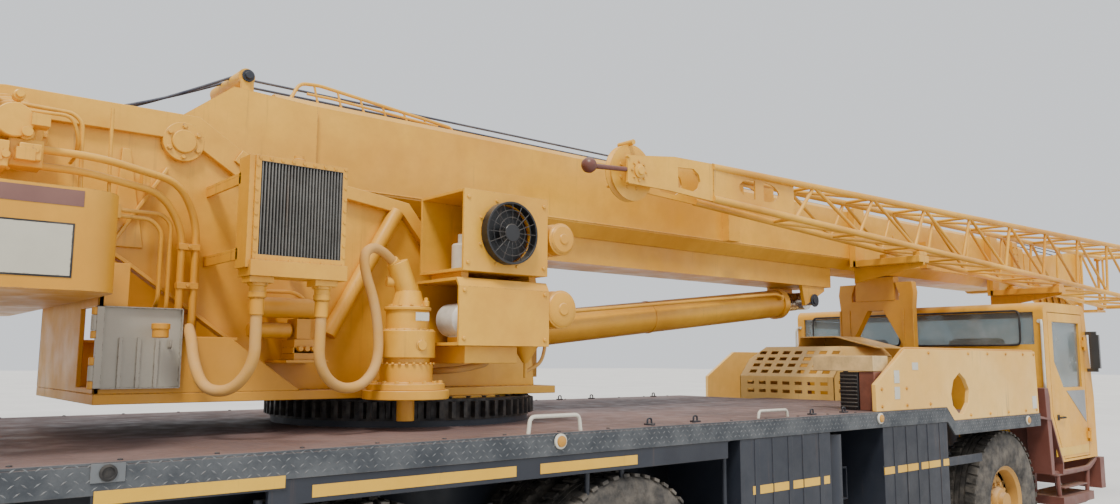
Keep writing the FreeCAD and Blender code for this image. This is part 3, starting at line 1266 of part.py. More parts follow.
def lattice_jib():
    bays = int(float(S.jib_bays))
    rows = []
    for side in (-1, 1):
        for level in (-1, 1):
            rows.append((jib_corner(0, side, level), jib_corner(1, side, level), S.chord_radius))
    for bay in range(bays):
        here = bay / bays
        there = (bay + 1) / bays
        middle = (here + there) / 2
        for side in (-1, 1):
            rows.append((jib_corner(here, side, -1), jib_corner(middle, side, 1), S.brace_radius))
            rows.append((jib_corner(middle, side, 1), jib_corner(there, side, -1), S.brace_radius))
        if bay > 0:
            for level in (-1, 1):
                rows.append((jib_corner(here, -1, level), jib_corner(here, 1, level), S.brace_radius))
    lattice = bars("jib_lattice", rows)
    tip = float(S.jib_tip_half)
    pieces = [lattice]
    for side in (-1, 1):
        y = S.jib_y + side * tip
        pieces.append(profile("jib_tip_plate", "XZ",
                              [(S.jib_tip_x + 60, S.jib_tip_bottom - 20), (S.jib_tip_x + 60, S.jib_tip_top + 20),
                               (S.jib_sheave_x + 300, S.jib_tip_top + 10), (S.jib_sheave_x - 90, S.jib_sheave_z + 80),
                               (S.jib_sheave_x - 90, S.jib_sheave_z - 80), (S.jib_sheave_x + 250, S.jib_tip_bottom)],
                              y - 7, y + 7))
    pieces.append(turned("jib_sheave", "Y", (S.jib_sheave_x, S.jib_y, S.jib_sheave_z),
                         [(20, -25), (S.jib_sheave_radius, -25), (S.jib_sheave_radius - 15, -5),
                          (S.jib_sheave_radius - 15, 5), (S.jib_sheave_radius, 25), (20, 25)]))
    pieces.append(rod("jib_sheave_pin", "Y", (S.jib_sheave_x, S.jib_y - tip, S.jib_sheave_z), 20, 2 * tip))
    # Foot frame and hinge knuckle
    foot = S.jib_foot_x
    half = S.jib_foot_half
    for z in (S.jib_foot_top, S.jib_foot_bottom):
        pieces.append(rod("jib_foot_bar", "Y", (foot, S.jib_y - half, z), S.chord_radius, 2 * half))
        pieces.append(box("jib_knuckle_arm", (foot - 20, S.jib_pivot_x + 4), (S.jib_y + half - 10, S.jib_pivot_y - 20),
                          (z - 20, z + 20)))
        pieces.append(rod("jib_knuckle_barrel", "Z", (S.jib_pivot_x, S.jib_pivot_y, z - 28), 36, 56))
    solid = fuse("jib_solid", pieces)
    bore = rod("jib_hinge_bore", "Z", (S.jib_pivot_x, S.jib_pivot_y, S.jib_foot_bottom - 80), 16 + S.fit_gap,
               S.jib_foot_top - S.jib_foot_bottom + 160)
    node("lattice_jib", [cut("jib_cut", solid, [bore])])


def lift_cylinder():
    dx = float(S.lift_eye_x) - float(S.lift_base_x)
    dz = float(S.lift_eye_z) - float(S.lift_base_z)
    reach = math.hypot(dx, dz)
    way = FreeCAD.Vector(dx / reach, 0, dz / reach)
    base = vector(S.lift_base_x, 0, S.lift_base_z)
    radius = float(S.lift_radius)
    rod_radius = float(S.lift_rod_radius)
    tube_length = reach - 240
    tube = Part.makeCylinder(radius, tube_length - 100, base + way * 100, way)
    bore = Part.makeCylinder(rod_radius + float(S.fit_gap), tube_length, base + way * 200, way)
    eye = Part.makeCylinder(float(S.lift_eye_radius) + 20, 160, base - FreeCAD.Vector(0, 80, 0), FreeCAD.Vector(0, 1, 0))
    eye_bore = Part.makeCylinder(float(S.lift_pin_radius) + float(S.fit_gap), 200, base - FreeCAD.Vector(0, 100, 0),
                                 FreeCAD.Vector(0, 1, 0))
    node("lift_barrel", [feature("barrel_solid", tube.fuse([eye]).cut(bore).cut(eye_bore))])
    top = vector(S.lift_eye_x, 0, S.lift_eye_z)
    shaft = Part.makeCylinder(rod_radius, reach - 240, base + way * 210, way)
    rod_eye = Part.makeCylinder(float(S.lift_eye_radius), 200, top - FreeCAD.Vector(0, 100, 0), FreeCAD.Vector(0, 1, 0))
    pin = Part.makeCylinder(float(S.lift_pin_radius), 340, top - FreeCAD.Vector(0, 170, 0), FreeCAD.Vector(0, 1, 0))
    node("lift_rod", [feature("rod_solid", shaft.fuse([rod_eye, pin]))])


def hook_block():
    x = S.head_sheave_x + S.head_sheave_radius - 16 + 9 + 0.3
    pieces = []
    for number in range(4):
        y = -105 + 70 * number
        pieces.append(rod(f"fall_{number}", "Z", (x, y, 1750), 9, S.head_sheave_z - 1750))
    pieces.append(profile("block_cheeks", "XZ", [(x - 110, 1420), (x + 90, 1420), (x + 110, 1650), (x + 60, 1760),
                                                 (x - 80, 1760), (x - 130, 1650)], -140, 140))
    pieces.append(rod("hook_shank", "Z", (x - 10, 0, 1330), 40, 90))
    hook = Part.makeTorus(85, 28, vector(0, 0, 0), FreeCAD.Vector(0, 1, 0), 0, 360, 270)
    hook.rotate(FreeCAD.Vector(0, 0, 0), FreeCAD.Vector(0, 1, 0), 0)
    hook.translate(vector(float(x) - 10, 0, 1250))
    pieces.append(feature("hook_curve", hook))
    node("hook_block", pieces)


def build():
    chassis_frame()
    deck()
    side_boxes()
    slew_ring()
    axles()
    both(knuckle)
    wheels()
    outriggers()
    carrier_cab()
    cab_windows()
    both(carrier_door)
    cab_fittings()
    engine()
    engine_cover()
    side_panels()
    boom_rest()
    steps_and_mudguards()
    lamps_and_mirrors()
    turntable()
    counterweight()
    winches()
    swing_drive()
    oil_cooler()
    equipment_boxes()
    cooler_fan()
    pipes()
    operator_cab()
    operator_cab_inside()
    operator_glass()
    operator_door()
    cabinet_door()
    boom_base()
    boom_section(1, "boom_second")
    boom_section(2, "boom_third")
    boom_head()
    lattice_jib()
    lift_cylinder()
    hook_block()
    doc.recompute()


def check_and_write():
    faults = [obj.Name for obj in doc.Objects if set(obj.State) & {"Invalid", "Error"}]
    for obj in NODES:
        if obj.Shape.isNull() or not obj.Shape.isValid():
            faults.append(obj.Label)
    if faults:
        raise RuntimeError("failed objects: " + ", ".join(faults))
    os.makedirs("parts", exist_ok=True)
    for obj in NODES:
        obj.Shape.exportStep(f"parts/{obj.Label}.step")


build()
check_and_write()
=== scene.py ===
import json
import math
import random

import bmesh
import bpy
from mathutils import Matrix, Vector


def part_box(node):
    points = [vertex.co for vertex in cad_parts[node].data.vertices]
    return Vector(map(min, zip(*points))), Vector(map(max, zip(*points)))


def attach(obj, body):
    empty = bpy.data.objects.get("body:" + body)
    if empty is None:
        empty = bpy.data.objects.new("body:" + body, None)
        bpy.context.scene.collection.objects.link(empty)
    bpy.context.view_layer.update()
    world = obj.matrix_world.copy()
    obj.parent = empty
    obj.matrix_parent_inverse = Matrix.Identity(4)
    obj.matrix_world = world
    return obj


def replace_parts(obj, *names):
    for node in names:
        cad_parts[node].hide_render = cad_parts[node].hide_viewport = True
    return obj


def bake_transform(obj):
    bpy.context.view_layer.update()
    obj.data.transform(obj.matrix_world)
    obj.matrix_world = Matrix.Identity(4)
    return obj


# The looks of a three-axle mobile crane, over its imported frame.
# Places are written in millimetres from the slewing axis, as X forward, Y left and Z up.

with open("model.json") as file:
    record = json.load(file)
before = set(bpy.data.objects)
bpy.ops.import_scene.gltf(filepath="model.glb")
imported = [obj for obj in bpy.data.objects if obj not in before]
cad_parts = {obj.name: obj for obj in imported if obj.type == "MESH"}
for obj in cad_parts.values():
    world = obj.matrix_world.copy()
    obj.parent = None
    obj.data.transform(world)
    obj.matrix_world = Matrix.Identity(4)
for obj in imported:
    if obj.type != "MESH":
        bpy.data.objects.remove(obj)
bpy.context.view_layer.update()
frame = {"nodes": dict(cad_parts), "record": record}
NODES = frame["nodes"]

MM = 0.001
RING_LOW, RING_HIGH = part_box("slew_ring")
SLEW_X = (RING_LOW.x + RING_HIGH.x) / 2
RIGHT, LEFT = -1, 1


def at(x, y, z):
    """A place in millimetres from the slewing axis, in the row frame's metres."""
    return Vector((SLEW_X + x * MM, y * MM, z * MM))


def box_of(node):
    """A node's box in millimetres from the slewing axis."""
    low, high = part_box(node)
    shift = Vector((SLEW_X, 0, 0))
    return (low - shift) / MM, (high - shift) / MM


# Camera and studio

IMAGE_WIDTH = 1120
FOCAL_PIXELS = 875.9
SENSOR_WIDTH = 36
CAMERA_PLACE = (-2452, -4256, 1619)
CAMERA_YAW = 40.0
CAMERA_PITCH = 7.0
CAMERA_ROLL = 0.25


def make_camera():
    """The photograph's view: yaw 0 looks along +Y and grows towards +X."""
    data = bpy.data.cameras.new("camera")
    data.sensor_fit = "HORIZONTAL"
    data.sensor_width = SENSOR_WIDTH
    data.lens = SENSOR_WIDTH * FOCAL_PIXELS / IMAGE_WIDTH
    data.clip_start = 0.05
    data.clip_end = 400
    camera = bpy.data.objects.new("camera", data)
    turn = (Matrix.Rotation(math.radians(-CAMERA_YAW), 4, "Z")
            @ Matrix.Rotation(math.radians(90 + CAMERA_PITCH), 4, "X")
            @ Matrix.Rotation(math.radians(CAMERA_ROLL), 4, "Z"))
    camera.matrix_world = Matrix.Translation(at(*CAMERA_PLACE)) @ turn
    bpy.context.scene.collection.objects.link(camera)
    bpy.context.scene.camera = camera


def make_sun(name, strength, softness, heading, height, colour):
    """A distant soft light: heading 0 comes from +Y, 90 from +X; height is above the horizon."""
    data = bpy.data.lights.new(name, "SUN")
    data.energy = strength
    data.angle = math.radians(softness)
    data.color = colour
    light = bpy.data.objects.new(name, data)
    light.rotation_euler = (math.radians(90 - height), 0, math.radians(180 - heading))
    bpy.context.scene.collection.objects.link(light)


def make_studio():
    world = bpy.data.worlds.new("studio")
    world.use_nodes = True
    background = world.node_tree.nodes["Background"]
    background.inputs["Color"].default_value = (0.93, 0.96, 1.0, 1)
    background.inputs["Strength"].default_value = 1.0
    bpy.context.scene.world = world
    make_sun("key", 3.6, 14, 225, 58, (1.0, 0.95, 0.86))
    make_sun("fill", 0.5, 60, 150, 25, (0.9, 0.95, 1.0))
    mesh = bpy.data.meshes.new("floor")
    reach = 120
    corners = [(-reach, -reach, 0), (reach, -reach, 0), (reach, reach, 0), (-reach, reach, 0)]
    mesh.from_pydata(corners, [], [(0, 1, 2, 3)])
    floor = bpy.data.objects.new("floor", mesh)
    bpy.context.scene.collection.objects.link(floor)
    floor.data.materials.append(floor_finish())


# Finishes


class Finish:
    """A procedural material whose places and directions are the object's own, in metres."""

    def __init__(self, name, **sockets):
        self.material = bpy.data.materials.new(name)
        self.material.use_nodes = True
        self.tree = self.material.node_tree
        self.shader = self.tree.nodes["Principled BSDF"]
        for socket, value in sockets.items():
            self.join(self.shader.inputs[socket.replace("_", " ")], value)
        coordinates = self.tree.nodes.new("ShaderNodeTexCoord")
        self.place = coordinates.outputs["Object"]
        self.normal = coordinates.outputs["Normal"]

    def join(self, socket, value):
        if isinstance(value, bpy.types.NodeSocket):
            self.tree.links.new(value, socket)
        elif isinstance(value, tuple) and len(value) == 3 and socket.type == "RGBA":
            socket.default_value = (*value, 1)
        else:
            socket.default_value = value

    def node(self, kind, inputs, **settings):
        made = self.tree.nodes.new("ShaderNode" + kind)
        for key, value in settings.items():
            setattr(made, key, value)
        for key, value in inputs.items():
            self.join(made.inputs[key], value)
        return made

    def math(self, operation, first, second=0.0):
        return self.node("Math", {0: first, 1: second}, operation=operation).outputs[0]

    def noise(self, scale, detail=4.0, rough=0.55, stretch=(1, 1, 1)):
        """Noise from 0 to 1, its scale in waves a metre."""
        spread = self.node("Mapping", {"Vector": self.place, "Scale": stretch})
        made = self.node("TexNoise", {"Vector": spread.outputs[0], "Scale": scale, "Detail": detail,
                                      "Roughness": rough})
        return made.outputs["Fac"]

    def ramp(self, value, low, high, start=0.0, end=1.0):
        """Runs smoothly from start to end as the value goes from low to high."""
        made = self.node("MapRange", {"Value": value, "From Min": low, "From Max": high, "To Min": start,
                                      "To Max": end}, interpolation_type="SMOOTHSTEP")
        return made.outputs[0]

    def mix(self, share, first, second):
        return self.node("Mix", {0: share, 6: first, 7: second}, data_type="RGBA").outputs[2]

    def split(self, socket):
        return self.node("SeparateXYZ", {0: socket}).outputs

    def band(self, value, low, high, soft):
        """1 between low and high, 0 outside."""
        rise = self.ramp(value, low - soft, low + soft)
        fall = self.ramp(value, high - soft, high + soft, 1.0, 0.0)
        return self.math("MULTIPLY", rise, fall)

    def inside(self, x, y, z, soft=0.5):
        """1 inside a box given in millimetres from the slewing axis, 0 outside."""
        share = 1.0
        parts = self.split(self.place)
        for number, (low, high) in enumerate((x, y, z)):
            shift = SLEW_X if number == 0 else 0.0
            one = self.band(parts[number], shift + low * MM, shift + high * MM, soft * MM)
            share = self.math("MULTIPLY", share, one)
        return share

    def edges(self, radius):
        """1 on sharp edges, from the rounded normal's turn away from the true one."""
        rounded = self.node("Bevel", {"Radius": radius}, samples=4).outputs[0]
        true_normal = self.node("NewGeometry", {}).outputs["Normal"]
        dot = self.node("VectorMath", {0: rounded, 1: true_normal}, operation="DOT_PRODUCT").outputs["Value"]
        return self.ramp(self.math("SUBTRACT", 1.0, dot), 0.02, 0.16)

    def bump(self, height, distance, strength=1.0, before=None):
        inputs = {"Height": height, "Distance": distance, "Strength": strength}
        if before is not None:
            inputs["Normal"] = before
        return self.node("Bump", inputs).outputs[0]

    def use(self, colour=None, roughness=None, normal=None):
        if colour is not None:
            self.join(self.shader.inputs["Base Color"], colour)
        if roughness is not None:
            self.join(self.shader.inputs["Roughness"], roughness)
        if normal is not None:
            self.join(self.shader.inputs["Normal"], normal)
        return self.material


RUST = (0.13, 0.045, 0.018)
DUST = (0.42, 0.36, 0.29)
PRIMER = (0.10, 0.075, 0.06)


def floor_finish():
    made = Finish("floor_finish", Roughness=0.8)
    patches = made.ramp(made.noise(0.35, 3), 0.3, 0.7)
    colour = made.mix(patches, (0.60, 0.59, 0.57), (0.66, 0.65, 0.63))
    return made.use(colour)


def paint(name, deep, pale, dust=0.35, chips=0.8, streaks=0.5, rough=0.42, rust=0.35, areas=()):
    """Weathered paint: faded patches, runs of dirt, dust on top faces, chipped edges and rust spots.

    An area is a colour and the box, in millimetres from the slewing axis, that it covers: a part's own colour, or
    painted shade inside a hollow.
    """
    made = Finish(name, Metallic=0.0)
    faded = made.ramp(made.noise(0.8, 5), 0.35, 0.68)
    colour = made.mix(faded, deep, pale)
    mottle = made.ramp(made.noise(9, 6, 0.7), 0.25, 0.75, 0.0, 0.28)
    colour = made.mix(mottle, colour, tuple(0.72 * part for part in deep))
    for shade, box in areas:
        tone = made.mix(made.ramp(made.noise(6, 5, 0.7), 0.3, 0.75), shade, tuple(0.6 * part for part in shade))
        colour = made.mix(made.inside(*box), colour, tone)
    upward = made.ramp(made.split(made.normal)[2], 0.35, 0.9)
    settled = made.math("MULTIPLY", upward, made.ramp(made.noise(5, 6, 0.65), 0.3, 0.7, 0.4 * dust, dust))
    colour = made.mix(settled, colour, DUST)
    run_lines = made.noise(1.0, 5, 0.7, stretch=(26, 26, 1.1))
    where = made.ramp(made.noise(1.6, 3), 0.45, 0.7)
    runs = made.math("MULTIPLY", made.ramp(run_lines, 0.56, 0.74, 0.0, streaks), where)
    runs = made.math("MULTIPLY", runs, made.math("SUBTRACT", 1.0, upward))
    colour = made.mix(runs, colour, (0.17, 0.09, 0.04))
    grain = made.noise(55, 5, 0.7)
    worn = made.math("MULTIPLY", made.edges(0.006), made.ramp(grain, 0.46, 0.62, 0.0, chips))
    colour = made.mix(worn, colour, PRIMER)
    spots = made.ramp(made.noise(24, 7, 0.75), 0.66, 0.74)
    spots = made.math("MULTIPLY", spots, made.ramp(made.noise(2.2, 3), 0.5, 0.66, 0.0, 1.0))
    spots = made.math("MULTIPLY", spots, rust)
    colour = made.mix(spots, colour, RUST)
    gloss = made.ramp(made.noise(7, 5, 0.6), 0.25, 0.75, rough - 0.08, rough + 0.14)
    gloss = made.math("MAXIMUM", gloss, made.math("MULTIPLY", made.math("MAXIMUM", worn, settled), 0.85))
    dents = made.bump(made.noise(2.3, 3), 0.006, 0.35)
    skin = made.bump(made.noise(120, 3), 0.0004, 0.35, dents)
    return made.use(colour, gloss, skin)


def deck_finish():
    """Dusty mauve-brown walking surface over a dark slate edge."""
    made = Finish("deck_paint")
    patches = made.ramp(made.noise(0.7, 6, 0.65), 0.32, 0.68)
    top = made.mix(patches, (0.095, 0.062, 0.060), (0.19, 0.125, 0.115))
    scuffs = made.ramp(made.noise(18, 7, 0.75), 0.5, 0.8, 0.0, 0.55)
    top = made.mix(scuffs, top, (0.060, 0.040, 0.038))
    oil = made.ramp(made.noise(1.4, 5, 0.6), 0.62, 0.72, 0.0, 0.75)
    top = made.mix(oil, top, (0.035, 0.030, 0.030))
    side_patch = made.ramp(made.noise(6, 6, 0.7), 0.35, 0.7)
    side = made.mix(side_patch, (0.030, 0.036, 0.045), (0.085, 0.092, 0.10))
    upward = made.ramp(made.split(made.normal)[2], 0.5, 0.8)
    colour = made.mix(upward, side, top)
    worn = made.math("MULTIPLY", made.edges(0.005), made.ramp(made.noise(40, 5), 0.4, 0.62, 0.0, 0.8))
    colour = made.mix(worn, colour, (0.22, 0.18, 0.16))
    gloss = made.ramp(made.noise(9, 5), 0.3, 0.7, 0.5, 0.8)
    normal = made.bump(made.noise(70, 5, 0.7), 0.0012, 0.5)
    return made.use(colour, gloss, normal)


def rubber(name, colour, dust):
    made = Finish(name)
    patches = made.ramp(made.noise(8, 6, 0.7), 0.3, 0.75, 0.0, dust)
    shade = made.mix(patches, colour, DUST)
    gloss = made.ramp(made.noise(20, 4), 0.3, 0.7, 0.7, 0.92)
    normal = made.bump(made.noise(160, 3), 0.0004, 0.4)
    return made.use(shade, gloss, normal)


def greasy_steel():
    made = Finish("greasy_steel", Metallic=0.55)
    patches = made.ramp(made.noise(14, 6, 0.7), 0.3, 0.7)
    colour = made.mix(patches, (0.012, 0.012, 0.014), (0.055, 0.048, 0.042))
    gloss = made.ramp(made.noise(26, 4), 0.3, 0.7, 0.32, 0.7)
    return made.use(colour, gloss, made.bump(made.noise(60, 4), 0.0008, 0.5))


def bright_steel():
    made = Finish("bright_steel", Metallic=1.0)
    film = made.ramp(made.noise(5, 6, 0.6), 0.4, 0.75, 0.0, 0.6)
    colour = made.mix(film, (0.62, 0.60, 0.56), (0.20, 0.13, 0.07))
    return made.use(colour, made.ramp(made.noise(30, 4), 0.3, 0.7, 0.16, 0.4))


def window_glass():
    """Dusty tinted panes."""
    made = Finish("window_glass", Transmission_Weight=0.82, IOR=1.45)
    film = made.ramp(made.noise(3.5, 6, 0.7), 0.35, 0.8)
    colour = made.mix(film, (0.42, 0.50, 0.52), (0.60, 0.62, 0.60))
    return made.use(colour, made.ramp(film, 0.0, 1.0, 0.04, 0.32))


def vinyl():
    made = Finish("worn_vinyl")
    patches = made.ramp(made.noise(11, 6, 0.7), 0.35, 0.7)
    colour = made.mix(patches, (0.035, 0.032, 0.030), (0.085, 0.075, 0.065))
    return made.use(colour, 0.55, made.bump(made.noise(220, 2), 0.0005, 0.5))


def lamp_finish():
    """Clear headlamps in front, red lenses behind, dark mirrors between."""
    made = Finish("lamp_lenses", Coat_Weight=0.6)
    forward = made.split(made.place)[0]
    red = made.mix(made.ramp(made.noise(60, 2), 0.3, 0.7), (0.42, 0.015, 0.012), (0.55, 0.03, 0.02))
    clear = made.mix(made.ramp(made.noise(90, 2), 0.3, 0.7), (0.55, 0.55, 0.52), (0.7, 0.7, 0.66))
    front_lamps = at(6500, 0, 0).x
    rear_lamps = at(0, 0, 0).x
    shade = made.mix(made.ramp(forward, rear_lamps, rear_lamps + 0.1), red, (0.03, 0.03, 0.032))
    shade = made.mix(made.ramp(forward, front_lamps, front_lamps + 0.02), shade, clear)
    return made.use(shade, 0.28)


FINISHES = {
    "ochre": paint("ochre_paint", (0.60, 0.265, 0.012), (0.82, 0.44, 0.040)),
    "deck": deck_finish(),
    "dark": paint("dark_paint", (0.010, 0.013, 0.022), (0.022, 0.027, 0.040), dust=0.22, chips=0.5,
                  streaks=0.3, rough=0.5),
    "black_steel": greasy_steel(),
    "greasy": greasy_steel(),
    "tyre": rubber("tyre_rubber", (0.018, 0.017, 0.017), 0.30),
    "glass": window_glass(),
    "seat": vinyl(),
    "lamp": lamp_finish(),
    "fan": rubber("fan_plastic", (0.012, 0.012, 0.014), 0.25),
    "bright_rod": bright_steel(),
    "bumper": paint("bumper_paint", (0.10, 0.030, 0.020), (0.17, 0.060, 0.045), dust=0.3, rust=0.6),
    "cabinet": paint("cabinet_paint", (0.36, 0.33, 0.27), (0.48, 0.45, 0.38), dust=0.2, rust=0.8),
    "hose": rubber("hose_rubber", (0.56, 0.29, 0.055), 0.22),
    "rope": rubber("rope_wire", (0.055, 0.065, 0.10), 0.2),
    "edge_bars": paint("edge_bar_paint", (0.10, 0.11, 0.12), (0.20, 0.21, 0.22), dust=0.4, chips=0.9),
    "strip_yellow": paint("strip_paint", (0.66, 0.36, 0.02), (0.78, 0.47, 0.04), dust=0.35, chips=0.5, rough=0.35),
    "pale_paint": paint("pale_paint", (0.52, 0.50, 0.42), (0.68, 0.66, 0.58), dust=0.3, rust=0.5),
    "sign_white": paint("sign_white", (0.50, 0.47, 0.38), (0.64, 0.61, 0.52), dust=0.25, streaks=0.8, rust=0.6),
    "worn_brown": paint("worn_brown", (0.16, 0.07, 0.06), (0.30, 0.15, 0.11), dust=0.2, rust=0.9, chips=0.9),
    "black_trim": rubber("black_trim", (0.010, 0.010, 0.012), 0.15),
    "amber_lens": paint("amber_lens", (0.45, 0.20, 0.02), (0.60, 0.32, 0.05), dust=0.2, rough=0.25),
    "grey_panel": paint("grey_panel", (0.20, 0.21, 0.22), (0.30, 0.31, 0.32), dust=0.2),
    "rim": paint("rim_paint", (0.36, 0.17, 0.03), (0.50, 0.27, 0.06), dust=0.5, rust=0.8, rough=0.6),
}

OCHRE = ((0.61, 0.27, 0.013), (0.82, 0.445, 0.042))
CREAM = ((0.76, 0.43, 0.085), (0.84, 0.54, 0.16))
CORE_GREY = (0.16, 0.155, 0.145)
BLACK = (0.012, 0.012, 0.014)
FINISHES.update({
    "cooler": paint("cooler_paint", *OCHRE, areas=((CORE_GREY, ((-1194, -851), (-952, -915), (2016, 2384))),)),
    "boxes": paint("box_paint", *OCHRE, areas=(
        (BLACK, ((-156, 144), (-1010, -951), (2050, 2360))),
        # This second black area is painted shade: it blackens the disc just behind the fan, standing in for the box's
        # dark inside.
        (BLACK, ((-156, 144), (-936, -922), (2055, 2360))),
        ((0.70, 0.68, 0.62), ((-255, -97), (-892, -708), (1720, 1880))),
        ((0.55, 0.48, 0.36), ((-240, -140), (-892, -790), (2032, 2220))))),
    "lockers": paint("locker_paint", BLACK, (0.03, 0.03, 0.032), areas=(
        ((0.20, 0.07, 0.045), ((2700, 2930), (-1215, -1093), (1290, 1551))),
        ((0.74, 0.52, 0.24), ((2700, 2930), (-1215, -740), (1551, 1665))))),
    "cover": paint("cover_paint", *CREAM, rust=0.9, streaks=0.7),
    "turntable": paint("turntable_paint", *OCHRE, areas=(
        # The near-black area is painted shade inside the tail box's cabinet, where little light gets in.
        ((0.03, 0.02, 0.012), ((-1629, -1420), (-544, -452), (1481, 1830))),)),
})


# Forms


PLANES = {"XZ": lambda u, v, w: (u, w, v), "YZ": lambda u, v, w: (w, u, v), "XY": lambda u, v, w: (u, v, w)}


def slots(columns, rows):
    """Rectangles, one for each span in columns and each in rows."""
    return [[(u0, v0), (u1, v0), (u1, v1), (u0, v1)] for u0, u1 in columns for v0, v1 in rows]


class Piece:
    """Gathers simple forms into one mesh, with places in millimetres from the slewing axis."""

    def __init__(self):
        self.mesh = bmesh.new()

    def add(self, corners, faces):
        made = [self.mesh.verts.new(at(*corner)) for corner in corners]
        for face in faces:
            self.mesh.faces.new([made[number] for number in face])

    def block(self, x, y, z):
        corners = [(u, v, w) for u in x for v in y for w in z]
        self.add(corners, [(0, 1, 3, 2), (4, 6, 7, 5), (0, 4, 5, 1), (2, 3, 7, 6), (0, 2, 6, 4), (1, 5, 7, 3)])

    def plate(self, plane, outline, low, high, holes=()):
        """An outline with holes in the XZ, YZ or XY plane, or as a function places it, made thick across it."""
        spread = PLANES.get(plane, plane)
        rims = []
        for level in (low, high):
            loops = [[self.mesh.verts.new(at(*spread(u, v, level))) for u, v in loop] for loop in (outline, *holes)]
            edges = [self.mesh.edges.new((loop[i - 1], loop[i])) for loop in loops for i in range(len(loop))]
            if holes:
                bmesh.ops.triangle_fill(self.mesh, use_beauty=True, edges=edges)
            else:
                self.mesh.faces.new(loops[0])
            rims.append(loops)
        for below, above in zip(*rims):
            for i in range(len(below)):
                self.mesh.faces.new((below[i - 1], below[i], above[i], above[i - 1]))

    def strip(self, path, width, low, high):
        """A strip of even width that lies to the right of a path in the XZ plane."""
        inner = []
        for number, (u, v) in enumerate(path):
            before, after = path[max(number - 1, 0)], path[min(number + 1, len(path) - 1)]
            ways = []
            for (u0, v0), (u1, v1) in ((before, (u, v)), ((u, v), after)):
                run = math.hypot(u1 - u0, v1 - v0)
                if run:
                    ways.append(((v1 - v0) / run, (u0 - u1) / run))
            along = [sum(way[k] for way in ways) for k in (0, 1)]
            size = math.hypot(*along)
            step = width * len(ways) / size
            inner.append((u + along[0] / size * step, v + along[1] / size * step))
        self.plate("XZ", list(path) + inner[::-1], low, high)

    def rings(self, rings, closed=False):
        """Joins rings of as many corners each, and caps the two ends unless they meet."""
        count = len(rings[0])
        corners = [corner for ring in rings for corner in ring]
        faces = []
        last = len(rings) if closed else len(rings) - 1
        for number in range(last):
            here = number * count
            there = (number + 1) % len(rings) * count
            for i in range(count):
                j = (i + 1) % count
                faces.append((here + i, here + j, there + j, there + i))
        if not closed:
            faces.append(tuple(range(count - 1, -1, -1)))
            faces.append(tuple(range((len(rings) - 1) * count, len(rings) * count)))
        self.add(corners, faces)

    def lathe(self, centre, axis, outline, sides=32, closed=False):
        """Turns (radius, along) points about an axis through the centre."""
        spots = []
        for radius, along in outline:
            ring = []
            for number in range(sides):
                turn = 2 * math.pi * number / sides
                across = (max(radius, 0.01) * math.cos(turn), max(radius, 0.01) * math.sin(turn))
                row = {"X": (along, *across), "Y": (across[0], along, across[1]), "Z": (*across, along)}[axis]
                ring.append(tuple(a + b for a, b in zip(centre, row)))
            spots.append(ring)
        self.rings(spots, closed)

    def bar(self, start, end, radius, sides=12, far=None):
        """A round bar or cone between two places."""
        self.sweep([Vector(start), Vector(end)], [radius, radius if far is None else far], sides)

    def sweep(self, path, radii, sides):
        rings = []
        side = None
        for number, point in enumerate(path):
            ahead = path[min(number + 1, len(path) - 1)] - path[max(number - 1, 0)]
            ahead.normalize()
            if side is None:
                side = ahead.orthogonal().normalized()
            side = (side - ahead * side.dot(ahead)).normalized()
            other = ahead.cross(side)
            ring = []
            for i in range(sides):
                turn = 2 * math.pi * i / sides
                ring.append(tuple(point + (side * math.cos(turn) + other * math.sin(turn)) * radii[number]))
            rings.append(ring)
        self.rings(rings)

    def tube(self, route, radius, sides=10, bend=None):
        """A bent pipe: straight runs with a rounded corner at each inner point."""
        route = [Vector(point) for point in route]
        path = [route[0]]
        for before, corner, after in zip(route, route[1:], route[2:]):
            back, ahead = before - corner, after - corner
            reach = min(0.45 * min(back.length, ahead.length), bend or 4 * radius)
            start = corner + back.normalized() * reach
            end = corner + ahead.normalized() * reach
            for step in range(6):
                share = step / 5
                path.append(start.lerp(corner, share).lerp(corner.lerp(end, share), share))
        path.append(route[-1])
        self.sweep(path, [radius] * len(path), sides)

    def bolts(self, centre, axis, reach, count, size, height, start=0.0, arc=360.0):
        """Hexagon heads on a circle, standing out along the axis; a negative height turns them round."""
        for number in range(count):
            turn = math.radians(start + arc * number / count)
            across = (reach * math.cos(turn), reach * math.sin(turn))
            x, y, z = centre
            place = {"X": (x, y + across[0], z + across[1]), "Y": (x + across[0], y, z + across[1]),
                     "Z": (x + across[0], y + across[1], z)}[axis]
            self.lathe(place, axis, [(1.5 * size, 0), (1.5 * size, 0.2 * height), (size, 0.2 * height),
                                     (size, height)], 6)

    def done(self, name, finish, body, bevel=0.0, smooth=34, blend=None):
        """Makes the piece from its forms; it rides on a body, or, given blend, is left where it stands on no body."""
        bmesh.ops.recalc_face_normals(self.mesh, faces=self.mesh.faces)
        mesh = bpy.data.meshes.new(name)
        self.mesh.to_mesh(mesh)
        self.mesh.free()
        mesh.polygons.foreach_set("use_smooth", [True] * len(mesh.polygons))
        mesh.set_sharp_from_angle(angle=math.radians(smooth))
        mesh.materials.append(FINISHES[finish])
        made = bpy.data.objects.new(name, mesh)
        bpy.context.scene.collection.objects.link(made)
        if bevel:
            softened = made.modifiers.new("softened", "BEVEL")
            softened.width = bevel * MM
            softened.segments = 2
            softened.limit_method = "ANGLE"
            softened.angle_limit = math.radians(40)
        if blend:
            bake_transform(made)
        else:
            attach(made, body)
        return made


# Soft hoses

